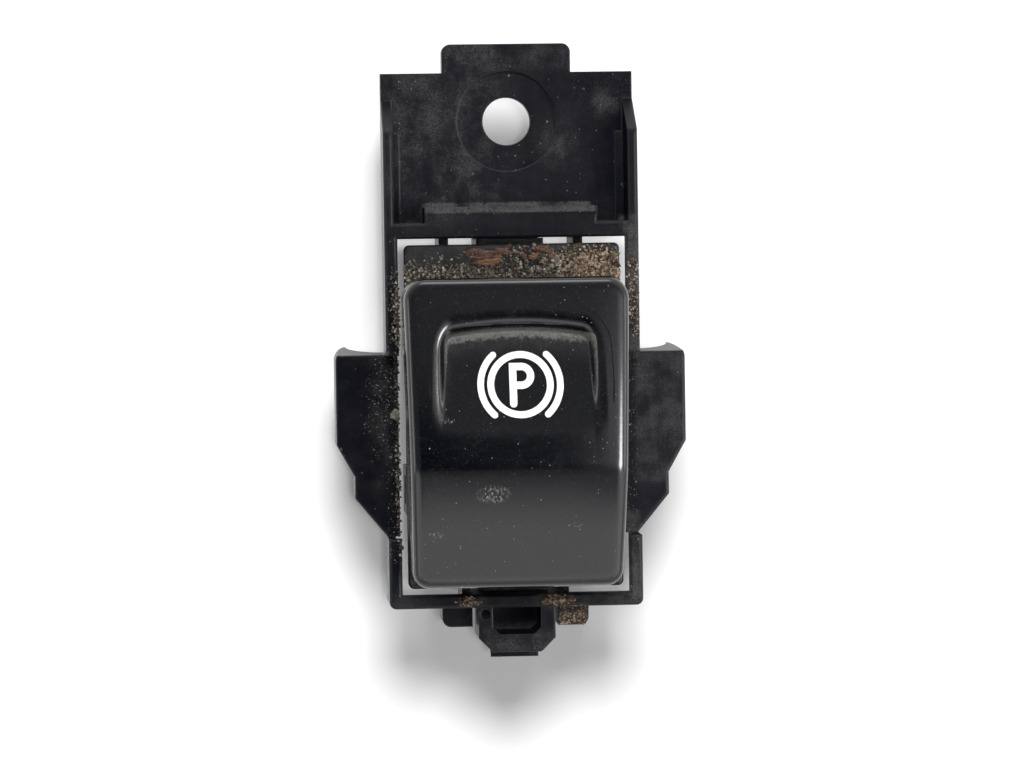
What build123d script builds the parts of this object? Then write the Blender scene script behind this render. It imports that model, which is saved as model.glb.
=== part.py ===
from build123d import *
from math import atan2, cos, radians, sin, sqrt, tan
import os

os.makedirs("parts", exist_ok=True)

# Electric parking brake switch, in millimetres. The origin is the screw hole's centre on the
# fixing plate's underside. +Z points out of the panel and +Y to the far end, away from the user.

# gaps between pieces
clip_gap = 0.05
running_gap = 0.05
swing_gap = 0.4
press_gap = 0.02

# fixing plate
screw_hole_d = 5.0
recess_d = 10.5
recess_depth = 0.6
plate_thickness = 2.0
plate_reach = 5.1
tab_width = 13.5
tab_reach = 8.1
tab_corner = 0.9
side_wall = 1.05
side_wall_foot = 0.8
bracket_edge = 0.25
wall_rise_start = 2.3
wall_rise_length = 3.5

# frame around the switch
window_setback = 12.2
window_width = 23.7
side_rail = 1.35
far_rail = 1.6
near_rail = 1.4
frame_top = 7.5
frame_depth = 10.5
frame_corner = 0.7
boss_width = 18.0
boss_depth = 1.65
boss_chamfer = 0.75
guide_rib = 1.0
far_rib_x = 7.0
near_rib_x = 5.1
lip_height = 1.5
lip_reach = 0.55

# wings beside the frame
wing_top = 3.0
wing_reach = 5.15
wing_setback = 12.1
wing_straight = 9.4
wing_step = 1.85
wing_step_drop = 3.3
wing_neck = 2.3
wing_end_drop = 4.0
wing_depth = 8.0
wing_root = 2.5
wing_flange = 1.2
wing_corner = 1.4
wing_draft = 5.5
wing_edge = 0.3

# latch loop and lugs at the near end
loop_width = 8.0
loop_reach = 4.7
loop_bar = 1.9
loop_arm = 1.5
loop_top = 7.3
loop_height = 7.3
loop_floor = 1.2
loop_chamfer = 1.5
loop_inner_chamfer = 0.7
loop_edge = 0.3
loop_dimple_d = 1.0
loop_dimple_setback = 0.7
barb_height = 2.4
barb_reach = 0.9
lug_inner = 4.5
lug_outer = 7.65
lug_reach = 2.15
lug_top = 5.0
lug_height = 5.0
lug_corner = 0.9

# switch case
case_gap = 0.65
flange_top = 7.0
flange_thickness = 1.5
flange_corner = 0.6
flange_edge = 0.2
side_overhang = 1.3
flange_overhang = 1.55
body_bottom = -10.0
case_wall = 1.3
case_corner = 1.0
far_margin = 6.2
near_margin = 4.0
neck_length = 22.4
neck_step = 1.2
neck_wall = 1.1
neck_top = 12.6
tongue_width = 7.0
tongue_top = 4.0
hook_reach = 1.0
hook_height = 2.2
ledge_width = 6.4
ledge_thickness = 1.2
ledge_top = 4.2
rail_height = 1.2
rail_width = 1.6
post_side = 1.6
catch_width = 3.0
catch_reach = 0.6
catch_height = 1.5
catch_setback = 8.0

# base cover and connector
cover_depth = 12.0
cover_deck = 2.2
cover_floor = 1.4
bay_wall = 1.5
socket_width = 14.0
socket_length = 8.0
socket_setback = 7.1
snap_thickness = 0.9
snap_border = 1.0
snap_height = 5.5
snap_root = 2.0
cover_edge = 0.4
panel_depth = 0.45
panel_border = 1.6
rib_pitch = 4.2
rib_width = 0.8
keyway_width = 2.4
keyway_depth = 0.8
mouth_chamfer = 0.35
pad_side = 2.2
pin_rows = 2
pins_per_row = 4
pin_pitch = 2.54
pin_side = 0.64
pin_length = 9.7
pin_proud = 0.5

# circuit board and what it carries
board_thickness = 1.6
board_seat = 0.4
board_gap = 0.2
led_length = 1.6
led_width = 1.2
led_height = 0.7
led_spacing = 2.4
chip_length = 5.0
chip_width = 3.0
chip_height = 1.0
resistor_length = 2.0
resistor_width = 1.25
resistor_height = 0.5
resistor_edge = 1.0
guide_width = 6.0
guide_thickness = 2.6
guide_top = 8.4
guide_foot = 0.8
guide_setback = 0.2
guide_light_gap = 0.3
guide_chamfer = 0.3
chip_setback = 0.6

# rocking knob
knob_far_setback = 4.2
knob_near_setback = 1.3
knob_far_width = 22.9
knob_near_width = 21.4
knob_far_corner = 2.2
knob_near_corner = 1.6
knob_edge = 1.1
knob_inner_corner = 0.4
knob_draft = 0.4
knob_wall = 1.5
skirt_height = 3.5
crest_top = 20.6
crest_setback = 18.5
crest_radius = 5.0
crest_turn = 15.0
ease_length = 6.0
rim_drop = 1.6
near_slope = 23.5
scoop_setback = 3.0
scoop_width = 16.8
scoop_flare = 0.6
scoop_depth = 1.9
scoop_corner = 3.6
scoop_arch = 42.0
scoop_merge = 15.15
scoop_bend = 1.1
scoop_exit = 3.0
scoop_cove = 1.5
scoop_side_draft = 7.0
scoop_lip = 0.2
top_wall = 1.65
symbol_setback = 10.7
diffuser_width = 9.4
diffuser_length = 8.2
diffuser_thickness = 1.0

# carrier, pivot and springs
pivot_offset = 2.2
pivot_height = 10.0
pin_d = 2.0
hub_d = 5.0
arm_thickness = 2.0
arm_width = 2.4
socket_boss_d = 2.3
socket_hole_d = 1.4
socket_grip = 4.0
socket_relief = 0.3
spring_d = 2.6
spring_wire = 0.35
spring_turns = 2.5
wire_sides = 5
far_spring_inset = 2.4
near_spring_inset = 2.0
stud_length = 1.0
stud_gap = 0.15
spring_seat_gap = 0.03
pin_inset = 0.1
pin_chamfer = 0.2
far_socket_offset = 1.0
tail_width = 3.0
tail_thickness = 1.6
tail_ball_d = 2.0
tail_length = 16.0

# contact slider
slider_room = 5.2
slider_height = 3.3
slider_gap = 0.3
slot_wall = 0.9
runner_width = 1.4
brush_width = 1.6
brush_thickness = 0.15
brush_inset = 0.4
brush_x = 4.0
brush_room = 0.5
brush_tip = 0.6
brush_setback = 0.4
wipe_gap = 0.02

# places worked out from the sizes above
frame_width = window_width + 2 * side_rail
body_width = window_width - 2 * case_gap - 2 * side_overhang
neck_width = body_width - 2 * neck_step
board_width = body_width - 2 * case_wall - 2 * board_gap
resistor_x = board_width / 2 - resistor_edge - resistor_length / 2
window_far = -window_setback
body_far = window_far - case_gap - flange_overhang
neck_far = body_far - far_margin
neck_near = neck_far - neck_length
body_near = neck_near - near_margin
window_near = body_near - flange_overhang - case_gap
frame_far = window_far + far_rail
frame_near = window_near - near_rail
frame_bottom = frame_top - frame_depth
flange_bottom = flange_top - flange_thickness
pivot_y = (neck_far + neck_near) / 2 - pivot_offset
board_bottom = body_bottom + board_seat
board_top = board_bottom + board_thickness
cover_bottom = body_bottom - cover_depth
socket_y = body_far - socket_setback
knob_far = window_far - knob_far_setback
knob_near = window_near + knob_near_setback
skirt_bottom = flange_top + skirt_height
arm_top = pivot_height + arm_thickness / 2
arm_bottom = pivot_height - arm_thickness / 2
carrier_width = neck_width - 2 * neck_wall - 2 * swing_gap
far_spring_y = neck_far - neck_wall - far_spring_inset
near_spring_y = neck_near + neck_wall + near_spring_inset
scoop_far = knob_far - scoop_setback
scoop_foot_y = scoop_far - scoop_depth
scoop_foot_z = crest_top - rim_drop - scoop_depth + scoop_lip
scoop_merge_y = knob_far - scoop_merge
symbol_y = knob_far - symbol_setback
guide_y = symbol_y - guide_setback
slider_bottom = board_top + slider_gap
slider_top = slider_bottom + slider_height
slot_width = tail_ball_d + 4 * running_gap
slider_far = pivot_y + slot_width / 2 + slot_wall
slider_near = body_near + case_wall + slider_room


def block(x, y, z):
    """A box between three pairs of limits."""
    low = [min(pair) for pair in (x, y, z)]
    size = [max(pair) - min(pair) for pair in (x, y, z)]
    return Pos(*low) * Box(*size, align=(Align.MIN, Align.MIN, Align.MIN))


def centred(width, y, z):
    """A box centred on X = 0."""
    return block((-width / 2, width / 2), y, z)


def both_sides(piece):
    """The piece and its mirror image across X = 0."""
    return piece + mirror(piece, about=Plane.YZ)


def side_prism(points, x):
    """A (Y, Z) outline extruded between two values of X."""
    face = make_face(Polyline(*points, close=True))
    return Pos(min(x), 0, 0) * extrude(Plane.YZ * face, amount=max(x) - min(x))


def fixing_plate():
    """Plate and tab with the screw hole's recess, between two rising side walls."""
    plate = centred(frame_width, (window_far, plate_reach), (0, plate_thickness))
    tab = centred(tab_width, (0, tab_reach), (0, plate_thickness))
    tab = fillet(tab.edges().filter_by(Axis.Z).group_by(Axis.Y)[-1], tab_corner)
    half = frame_width / 2
    rise_end = wall_rise_start - wall_rise_length
    outline = [(wall_rise_start, 0), (wall_rise_start, plate_thickness), (rise_end, frame_top),
               (window_far, frame_top), (window_far, 0)]
    wall = side_prism(outline, (half - side_wall, half))
    foot_top = plate_thickness + side_wall_foot
    foot = Plane.XZ * make_face(Polyline(
        (half - side_wall, plate_thickness), (half - side_wall - side_wall_foot, plate_thickness),
        (half - side_wall, foot_top), close=True))
    foot = Pos(0, rise_end, 0) * extrude(foot, amount=rise_end - window_far)
    return plate + tab + both_sides(wall + foot)


def top_edges(piece, level):
    """Edges of the flat faces that look up at one level."""
    flat = piece.faces().filter_by(Axis.Z)
    return flat.filter_by(lambda f: abs(f.center().Z - level) < 0.01 and f.normal_at().Z > 0).edges()


def screw_seat():
    """Round recess and through hole for the fixing screw."""
    upright = (Align.CENTER, Align.CENTER, Align.MIN)
    hole = Cylinder(screw_hole_d / 2, plate_thickness, align=upright)
    recess = Cylinder(recess_d / 2, recess_depth, align=upright)
    return hole + Pos(0, 0, plate_thickness - recess_depth) * recess


def cross_boss():
    """Raised boss on the far rail, with its far edge sloped."""
    boss = centred(boss_width, (frame_far + boss_depth, frame_far), (0, frame_top))
    top = boss.faces().sort_by(Axis.Z)[-1]
    return chamfer(top.edges().group_by(Axis.Y)[-1], boss_chamfer)


def frame_ring():
    """Deep rectangular collar, notched down to the wings along both sides."""
    ring = centred(frame_width, (frame_near, frame_far), (frame_bottom, frame_top))
    ring = fillet(ring.edges().filter_by(Axis.Z).group_by(Axis.Y)[0], frame_corner)
    notch_far = window_far - wing_setback
    notch_near = notch_far - wing_straight - wing_step_drop - wing_neck - wing_end_drop
    notch = block((window_width / 2 - 1, frame_width / 2 + 1), (notch_near, notch_far),
                  (wing_top, frame_top + 1))
    ring -= both_sides(notch)
    window = centred(window_width, (window_near, window_far), (frame_bottom - 1, frame_top + 1))
    return ring - window - both_sides(corner_relief(notch_far, window_far, far_rib_x, 1)
                                      + corner_relief(notch_near, window_near, near_rib_x, -1))


def corner_relief(notch_y, rail_y, rib_x, outward):
    """Room under the window's lip in one corner, and below the frame outside the ribs."""
    wall, beyond = window_width / 2 + lip_reach, frame_width / 2 + 1
    rib = rib_x + guide_rib / 2
    low, high = frame_bottom - 1, frame_top - lip_height
    side = block((window_width / 2 - 1, wall), (notch_y, rail_y), (low, high))
    end = block((rib, wall), (rail_y - outward, rail_y + outward * lip_reach), (low, high))
    below = block((rib, beyond), (notch_y, rail_y + outward * (far_rail + 1)), (low, 0))
    return side + end + below


def guide_ribs():
    """Four ribs in the window that carry the switch case's flange."""
    far = block((far_rib_x - guide_rib / 2, far_rib_x + guide_rib / 2),
                (window_far, body_far + clip_gap), (frame_bottom, flange_bottom))
    near = block((near_rib_x - guide_rib / 2, near_rib_x + guide_rib / 2),
                 (body_near - clip_gap, window_near), (frame_bottom, flange_bottom))
    return both_sides(far) + both_sides(near)


def wing():
    """The wing on the +X side: a top face over an arched underside, with a deep outer flange."""
    root = frame_width / 2
    tip = root + wing_reach
    step = tip - wing_step
    far = window_far - wing_setback
    straight_end = far - wing_straight
    step_end = straight_end - wing_step_drop
    neck_end = step_end - wing_neck
    near = neck_end - wing_end_drop
    spread = wing_depth * tan(radians(wing_draft))
    inside = root - side_rail / 2
    outline = Polyline((inside, far + spread), (tip, far + spread), (tip, straight_end),
                       (step, step_end), (step, neck_end), (root, near), (inside, near), close=True)
    plan = make_face(outline)
    corner = plan.vertices().group_by(Axis.Y)[-1].sort_by(Axis.X)[-1]
    plan = fillet(corner, wing_corner)
    bottom = wing_top - wing_depth
    solid = Pos(0, 0, bottom) * extrude(plan, amount=wing_depth)
    drafted = [(far, wing_top), (far + spread, bottom), (far + spread + 1, bottom),
               (far + spread + 1, wing_top + 1), (far, wing_top + 1)]
    solid -= side_prism(drafted, (inside - 1, tip + 1))
    rim = [e for e in top_edges(solid, wing_top) if e.center().X > root]
    solid = fillet(rim, wing_edge)
    arch_width = wing_reach - wing_flange
    arch_height = wing_depth - wing_root
    arch = Plane.XZ * Pos(root, bottom) * Ellipse(arch_width, arch_height)
    return solid - Pos(0, far + spread + 1, 0) * extrude(arch, amount=far + spread - near + 2)


def latch_loop():
    """Closed loop with a barb that snaps into the console at the near end."""
    low = loop_top - loop_height
    outer = centred(loop_width, (frame_near - loop_reach, frame_near + near_rail / 2),
                    (low, loop_top))
    outer = chamfer(outer.edges().filter_by(Axis.Z).group_by(Axis.Y)[0], loop_chamfer)
    outer = chamfer(outer.faces().sort_by(Axis.Z)[-1].edges().group_by(Axis.Y)[0], loop_edge)
    inner = centred(loop_width - 2 * loop_arm, (frame_near - loop_reach + loop_bar, frame_near),
                    (low + loop_floor, loop_top + 1))
    inner = chamfer(inner.edges().filter_by(Axis.Z).group_by(Axis.Y)[0], loop_inner_chamfer)
    dimple = Cylinder(loop_dimple_d / 2, loop_arm, align=(Align.CENTER, Align.CENTER, Align.MAX))
    dimple_x = -loop_width / 2 + loop_arm / 2
    near = frame_near - loop_reach
    barb = side_prism([(near, low), (near, low + barb_height), (near - barb_reach, low + barb_height)],
                      (-loop_width / 2 + loop_chamfer, loop_width / 2 - loop_chamfer))
    return outer - inner - Pos(dimple_x, frame_near - loop_dimple_setback, loop_top) * dimple + barb


def lug():
    """Low lug beside the latch loop, on the +X side."""
    root = frame_near + near_rail / 2
    body = block((lug_inner, lug_outer), (frame_near - lug_reach, root),
                 (lug_top - lug_height, lug_top))
    near = body.edges().filter_by(Axis.Z).group_by(Axis.Y)[0]
    return fillet(near.sort_by(Axis.X)[-1], lug_corner)


def mounting_bracket():
    """Fixing plate, frame, wings, latch and lugs, moulded as one piece."""
    bracket = fixing_plate() + cross_boss() + frame_ring()
    bracket = chamfer(top_edges(bracket, frame_top), bracket_edge) + guide_ribs()
    bracket += both_sides(wing()) + latch_loop() + both_sides(lug())
    return bracket - screw_seat()


def case_shell():
    """Open-bottomed box with its flange and the neck that reaches up into the knob."""
    flange = centred(window_width - 2 * case_gap, (window_near + case_gap, window_far - case_gap),
                     (flange_bottom, flange_top))
    flange = fillet(flange.edges().filter_by(Axis.Z), flange_corner)
    flange = chamfer(top_edges(flange, flange_top), flange_edge)
    body = centred(body_width, (body_near, body_far), (body_bottom, flange_bottom))
    body = fillet(body.edges().filter_by(Axis.Z), case_corner)
    neck = centred(neck_width, (neck_near, neck_far), (flange_bottom, neck_top))
    inside = centred(body_width - 2 * case_wall, (body_near + case_wall, body_far - case_wall),
                     (body_bottom - 1, flange_bottom))
    throat = centred(neck_width - 2 * neck_wall, (neck_near + neck_wall, neck_far - neck_wall),
                     (flange_bottom - 1, neck_top + 1))
    return flange + body + neck - inside - throat


def spring_ledge(wall_y, spring_y, inward):
    """Ledge with a stud under one return spring, hung from the neck's end wall."""
    width = abs(wall_y - spring_y) + spring_d / 2 + spring_wire
    ledge = centred(ledge_width, (wall_y, wall_y + inward * width),
                    (ledge_top - ledge_thickness, ledge_top))
    web = centred(ledge_width, (wall_y - inward * neck_wall, wall_y),
                  (ledge_top - ledge_thickness, flange_bottom))
    stud = Cylinder(spring_core(), stud_length, align=(Align.CENTER, Align.CENTER, Align.MIN))
    return ledge + web + Pos(0, spring_y, ledge_top) * stud


def spring_core():
    """Radius of the studs inside the springs."""
    return spring_d / 2 - spring_wire - stud_gap


def slider_rails():
    """Ribs on the case's side walls that hold the contact slider down."""
    inner = body_width / 2 - case_wall
    low = slider_top + slider_gap
    rail = block((inner - rail_width, inner), (body_near + case_wall, slider_far + slider_room),
                 (low, low + rail_height))
    return both_sides(rail)


def corner_blocks(side, low, high):
    """Square blocks in the housing's four inner corners, above or below the circuit board."""
    x, far, near = body_width / 2 - case_wall, body_far - case_wall, body_near + case_wall
    return both_sides(block((x - side, x), (far - side, far), (low, high))
                      + block((x - side, x), (near, near + side), (low, high)))


def snap_tongue(body_y, rail_y, outward):
    """Tongue in the window's slot, hooked under the frame's rail."""
    face = rail_y - outward * clip_gap
    root = body_y - outward * case_wall / 2
    stem = centred(tongue_width, (root, face), (frame_bottom - clip_gap - hook_height, tongue_top))
    hook_top = frame_bottom - clip_gap
    hook = side_prism([(face, hook_top), (face + outward * hook_reach, hook_top),
                       (face, hook_top - hook_height)], (-tongue_width / 2, tongue_width / 2))
    return stem + hook


def catch_places():
    """Y of the two catches on each long side."""
    return body_far - catch_setback, body_near + catch_setback


def case_catches():
    """Wedges on the long sides that the base cover's loops snap over."""
    side = body_width / 2
    low = body_bottom + snap_height - snap_border - clip_gap - catch_height
    catches = None
    for y in catch_places():
        wedge = Plane.XZ * make_face(Polyline(
            (side - 0.2, low), (side, low), (side + catch_reach, low + catch_height),
            (side - 0.2, low + catch_height), close=True))
        wedge = Pos(0, y + catch_width / 2, 0) * extrude(wedge, amount=catch_width)
        catches = wedge if catches is None else catches + wedge
    return both_sides(catches)


def switch_case():
    """Case with its snap tongues, spring ledges, slider rails, board posts and pin holes."""
    case = case_shell() + slider_rails() + case_catches()
    case += corner_blocks(post_side, board_top, flange_bottom)
    case += spring_ledge(neck_far - neck_wall, far_spring_y, -1)
    case += spring_ledge(neck_near + neck_wall, near_spring_y, 1)
    case += snap_tongue(body_far, window_far, 1) + snap_tongue(body_near, window_near, -1)
    hole = Rot(0, 90, 0) * Cylinder(pin_d / 2 + press_gap, neck_width + 2)
    return case - Pos(0, pivot_y, pivot_height) * hole


def pin_places():
    """X and Y of each connector pin."""
    places = []
    for row in range(pin_rows):
        for column in range(pins_per_row):
            x = (column - (pins_per_row - 1) / 2) * pin_pitch
            places.append((x, socket_y + (row - (pin_rows - 1) / 2) * pin_pitch))
    return places


def pin_holes(side, low, high):
    """Square holes for all the connector pins."""
    holes = None
    for x, y in pin_places():
        hole = Pos(x, y, (low + high) / 2) * Box(side, side, high - low)
        holes = hole if holes is None else holes + hole
    return holes


def snap_loop(y):
    """Loop on the +X side that snaps over one of the case's catches."""
    inner = body_width / 2 + clip_gap
    width = catch_width + 2 * clip_gap + 2 * snap_border
    top = body_bottom + snap_height
    loop = block((inner, inner + snap_thickness), (y - width / 2, y + width / 2),
                 (body_bottom - snap_root, top))
    foot = block((inner - case_wall / 2, inner), (y - width / 2, y + width / 2),
                 (body_bottom - snap_root, body_bottom))
    hole = block((inner - 1, inner + snap_thickness + 1),
                 (y - width / 2 + snap_border, y + width / 2 - snap_border),
                 (body_bottom + snap_border, top - snap_border))
    return loop + foot - hole


def side_panel():
    """Shallow panel with upright ribs, cut into the base cover's +X side."""
    side = body_width / 2
    low, high = cover_bottom + panel_border, body_bottom - snap_root - panel_border / 2
    far, near = body_far - panel_border - case_corner, body_near + panel_border + case_corner
    panel = block((side - panel_depth, side + 1), (near, far), (low, high))
    count = int((far - near) / rib_pitch)
    spacing = (far - near) / count
    for n in range(1, count):
        y = near + n * spacing
        panel -= block((side - 1, side + 2), (y - rib_width / 2, y + rib_width / 2), (low, high))
    return panel


def socket_space():
    """Space for the plug, with a keyway in its far wall and an eased mouth."""
    far, near = socket_y + socket_length / 2, socket_y - socket_length / 2
    height = (cover_bottom - 1, body_bottom - cover_deck)
    socket = centred(socket_width, (near, far), height)
    keyway = centred(keyway_width, (far - 1, far + keyway_depth), height)
    mouth = centred(socket_width + 2 * mouth_chamfer, (near - mouth_chamfer, far + mouth_chamfer),
                    (cover_bottom, cover_bottom + mouth_chamfer))
    mouth = chamfer(mouth.faces().sort_by(Axis.Z)[-1].edges(), 0.99 * mouth_chamfer)
    return socket + keyway + mouth


def base_cover():
    """Lower half of the housing: connector socket in front, component bay behind."""
    cover = centred(body_width, (body_near, body_far), (cover_bottom, body_bottom))
    cover = fillet(cover.edges().filter_by(Axis.Z), case_corner)
    cover = chamfer(cover.faces().sort_by(Axis.Z)[0].edges(), cover_edge) - both_sides(side_panel())
    socket = socket_space()
    bay_far = socket_y - socket_length / 2 - bay_wall
    bay = centred(body_width - 2 * case_wall, (body_near + case_wall, bay_far),
                  (cover_bottom + cover_floor, body_bottom + 1))
    cover = cover - socket - bay + corner_blocks(pad_side, body_bottom - pad_side, board_bottom)
    for y in catch_places():
        cover += both_sides(snap_loop(y))
    return cover - pin_holes(pin_side + 2 * press_gap, body_bottom - cover_deck - 1, body_bottom + 1)


def circuit_board():
    """Bare board with the pins' holes."""
    inset = case_wall + board_gap
    board = centred(board_width, (body_near + inset, body_far - inset),
                    (board_bottom, board_top))
    return board - pin_holes(pin_side + 2 * clip_gap, board_bottom - 1, board_top + 1)


def terminal_pin(x, y):
    """Square pin from the socket up through the board, with a tapered tip."""
    top = board_top + pin_proud
    pin = Pos(x, y, top - pin_length / 2) * Box(pin_side, pin_side, pin_length)
    return chamfer(pin.faces().sort_by(Axis.Z)[0].edges(), pin_side / 5)


def on_board(x, y, length, width, height):
    """A plain component standing on the board."""
    return Pos(x, y, board_top + height / 2) * Box(length, width, height)


def light_guide():
    """Clear bar on two feet that carries the light of both lamps up to the symbol."""
    low = board_top + led_height + guide_light_gap
    far, near = guide_y + guide_thickness / 2, guide_y - guide_thickness / 2
    bar = centred(guide_width, (near, far), (low, guide_top))
    bar = chamfer(bar.faces().sort_by(Axis.Z)[-1].edges(), guide_chamfer)
    foot = block((guide_width / 2 - guide_foot, guide_width / 2), (near, far), (board_top, low))
    return bar + both_sides(foot)


def knob_plan(inset):
    """Plan of the knob, its sides drawn in by the inset."""
    far, near = knob_far_width / 2 - inset, knob_near_width / 2 - inset
    top, bottom = knob_far - inset, knob_near + inset
    plan = make_face(Polyline((-near, bottom), (near, bottom), (far, top), (-far, top), close=True))
    plan = fillet(plan.vertices().group_by(Axis.Y)[-1], max(knob_far_corner - inset, knob_inner_corner))
    return fillet(plan.vertices().group_by(Axis.Y)[0], max(knob_near_corner - inset, knob_inner_corner))


def crest_turn_end():
    """Y and Z where the crest's tight curve gives way to the slacker one."""
    turn = radians(crest_turn)
    return knob_far - crest_setback - crest_radius * sin(turn), crest_top - crest_radius * (1 - cos(turn))


def crest_end():
    """Y and Z where the slacker curve runs out into the near slope."""
    y, z = crest_turn_end()
    turn, slope = radians(crest_turn), radians(near_slope)
    radius = ease_length / (sin(slope) - sin(turn))
    return y - ease_length, z - radius * (cos(turn) - cos(slope))


def knob_outside():
    """Outer form of the knob: drafted sides under a crowned top that slopes to the near end."""
    far, near = knob_far + 2, knob_near - 2
    crest = (knob_far - crest_setback, crest_top)
    rim = (knob_far, crest_top - rim_drop)
    end = crest_end()
    near_z = end[1] - (end[0] - near) * tan(radians(near_slope))
    crown = TangentArc(crest, rim, tangent=(1, 0))
    turn = TangentArc(crest, crest_turn_end(), tangent=(-1, 0))
    ease = TangentArc(crest_turn_end(), end, tangent=(-cos(radians(crest_turn)), -sin(radians(crest_turn))))
    rest = Polyline(end, (near, near_z), (near, skirt_bottom - 1), (far, skirt_bottom - 1),
                    (far, rim[1]), rim)
    profile = Plane.YZ * make_face([crown, turn, ease, rest])
    height = crest_top - skirt_bottom + 1
    sides = Pos(0, 0, skirt_bottom) * extrude(knob_plan(0), amount=height, taper=knob_draft)
    knob = sides & extrude(profile, amount=knob_far_width, both=True)
    top_faces = knob.faces().filter_by(lambda f: f.normal_at().Z > 0.7)
    shared = [e for e in top_faces.edges()
              if sum(e.is_same(other) for face in top_faces for other in face.edges()) > 1]
    rim_edges = [e for e in top_faces.edges() if not any(e.is_same(s) for s in shared)]
    return fillet(ShapeList(rim_edges), knob_edge)


def crown_height(y):
    """Z of the crowned top at one Y, far of the crest."""
    radius = (crest_setback ** 2 + rim_drop ** 2) / (2 * rim_drop)
    return crest_top - radius + sqrt(radius ** 2 - (y - knob_far + crest_setback) ** 2)


def scoop_angle():
    """Slope of the scoop's floor, from its foot up to the crest."""
    return atan2(crown_height(scoop_merge_y) - scoop_foot_z, scoop_foot_y - scoop_merge_y)


def scoop_plan():
    """Plan of the scoop: an arched far wall between two nearly straight sides."""
    far, near = scoop_width / 2, scoop_width / 2 + scoop_flare
    crest_y = knob_far - crest_setback
    side_y = scoop_far - scoop_arch + sqrt(scoop_arch ** 2 - far ** 2)
    arch = ThreePointArc((-far, side_y), (0, scoop_far), (far, side_y))
    rest = Polyline((far, side_y), (near, crest_y), (-near, crest_y), (-far, side_y))
    plan = make_face([arch, rest])
    return fillet(plan.vertices().group_by(Axis.Y)[-1], scoop_corner)


def finger_scoop():
    """Cutter for the scoop: a coved wall round a flat floor that bends softly into the crest."""
    top, crest_y = crest_top + 2, knob_far - crest_setback
    rise, leave, half = scoop_angle(), radians(scoop_exit), scoop_bend / 2
    y, z = scoop_merge_y, crown_height(scoop_merge_y)
    start = (y + half * cos(rise), z - half * sin(rise))
    end = (y - half * cos(leave), z + half * sin(leave))
    foot = (knob_far, z - (knob_far - y) * tan(rise))
    bend = TangentArc(start, end, tangent=(-cos(rise), sin(rise)))
    rest = Polyline(end, (crest_y, z + (y - crest_y) * tan(leave)), (crest_y, top), (knob_far, top),
                    foot, start)
    section = Plane.YZ * make_face([bend, rest])
    low = foot[1] - 1
    sides = Pos(0, 0, low) * extrude(scoop_plan(), amount=top - low, taper=-scoop_side_draft)
    cutter = extrude(section, amount=scoop_width, both=True) & sides
    floor = cutter.faces().sort_by(Axis.Z)[0]
    cove = floor.edges().filter_by(lambda e: e.center().Y > y + scoop_bend)
    return fillet(cove, scoop_cove)


def knob_inside():
    """Hollow of the knob, one wall inside its top, its scoop and its sides."""
    far, near = knob_far + 2, knob_near - 2
    low_z = scoop_foot_z - knob_wall
    high_z = crest_top - top_wall
    ramp_end = scoop_foot_y - (high_z - low_z) / tan(scoop_angle())
    end_y, end_z = crest_end()
    turn_z = end_z - top_wall
    level_end = end_y + (high_z - turn_z) / tan(radians(near_slope))
    near_z = high_z - (level_end - near) * tan(radians(near_slope))
    outline = [(far, skirt_bottom - 1), (far, low_z), (scoop_foot_y, low_z), (ramp_end, high_z),
               (level_end, high_z), (near, near_z), (near, skirt_bottom - 1)]
    height = crest_top - skirt_bottom + 1
    sides = extrude(knob_plan(knob_wall), amount=height, taper=knob_draft)
    return Pos(0, 0, skirt_bottom) * sides & side_prism(outline, (-knob_far_width, knob_far_width))


def boss_places():
    """X and Y of the four sockets that hold the knob on its carrier."""
    x = carrier_width / 2 - socket_boss_d / 2
    return [(side * x, y) for y in (far_spring_y - far_socket_offset, near_spring_y) for side in (-1, 1)]


def knob_cap():
    """Hollow knob with the finger scoop and four sockets inside."""
    outside = knob_outside() - finger_scoop()
    knob = outside - knob_inside()
    upright = (Align.CENTER, Align.CENTER, Align.MIN)
    for x, y in boss_places():
        boss = Pos(x, y, arm_top) * Cylinder(socket_boss_d / 2, crest_top, align=upright)
        knob += boss & outside
    for x, y in boss_places():
        hole = Cylinder(socket_hole_d / 2, socket_grip + socket_relief, align=upright)
        knob -= Pos(x, y, arm_top) * hole
    return knob


def knob_carrier():
    """Rocker under the knob: hub, arms over both springs, posts, and the tail to the slider."""
    half = carrier_width / 2
    upright = (Align.CENTER, Align.CENTER, Align.MIN)
    hub = Pos(0, pivot_y, pivot_height) * Rot(0, 90, 0) * Cylinder(hub_d / 2, carrier_width)
    pad = spring_d / 2 + spring_wire
    far_end, near_end = far_spring_y + pad, near_spring_y - pad
    level = (arm_bottom, arm_top)
    arm = block((half - arm_width, half), (pivot_y, far_end), level)
    far_bar = centred(carrier_width, (far_spring_y - pad, far_end), level)
    near_plate = centred(carrier_width, (near_end, pivot_y), level)
    carrier = hub + both_sides(arm) + far_bar + near_plate
    for x, y in boss_places():
        post = Cylinder(socket_hole_d / 2 - press_gap, socket_grip, align=upright)
        carrier += Pos(x, y, arm_top) * post
    for y in (far_spring_y, near_spring_y):
        stud = Cylinder(spring_core(), stud_length, align=(Align.CENTER, Align.CENTER, Align.MAX))
        carrier += Pos(0, y, arm_bottom) * stud
    tail_end = pivot_height - tail_length
    tail = centred(tail_width, (pivot_y - tail_thickness / 2, pivot_y + tail_thickness / 2),
                   (tail_end, pivot_height))
    ball = Pos(0, pivot_y, tail_end) * Rot(0, 90, 0) * Cylinder(tail_ball_d / 2, tail_width)
    bore = Rot(0, 90, 0) * Cylinder(pin_d / 2 + running_gap, carrier_width + 2)
    return carrier + tail + ball - Pos(0, pivot_y, pivot_height) * bore


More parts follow.
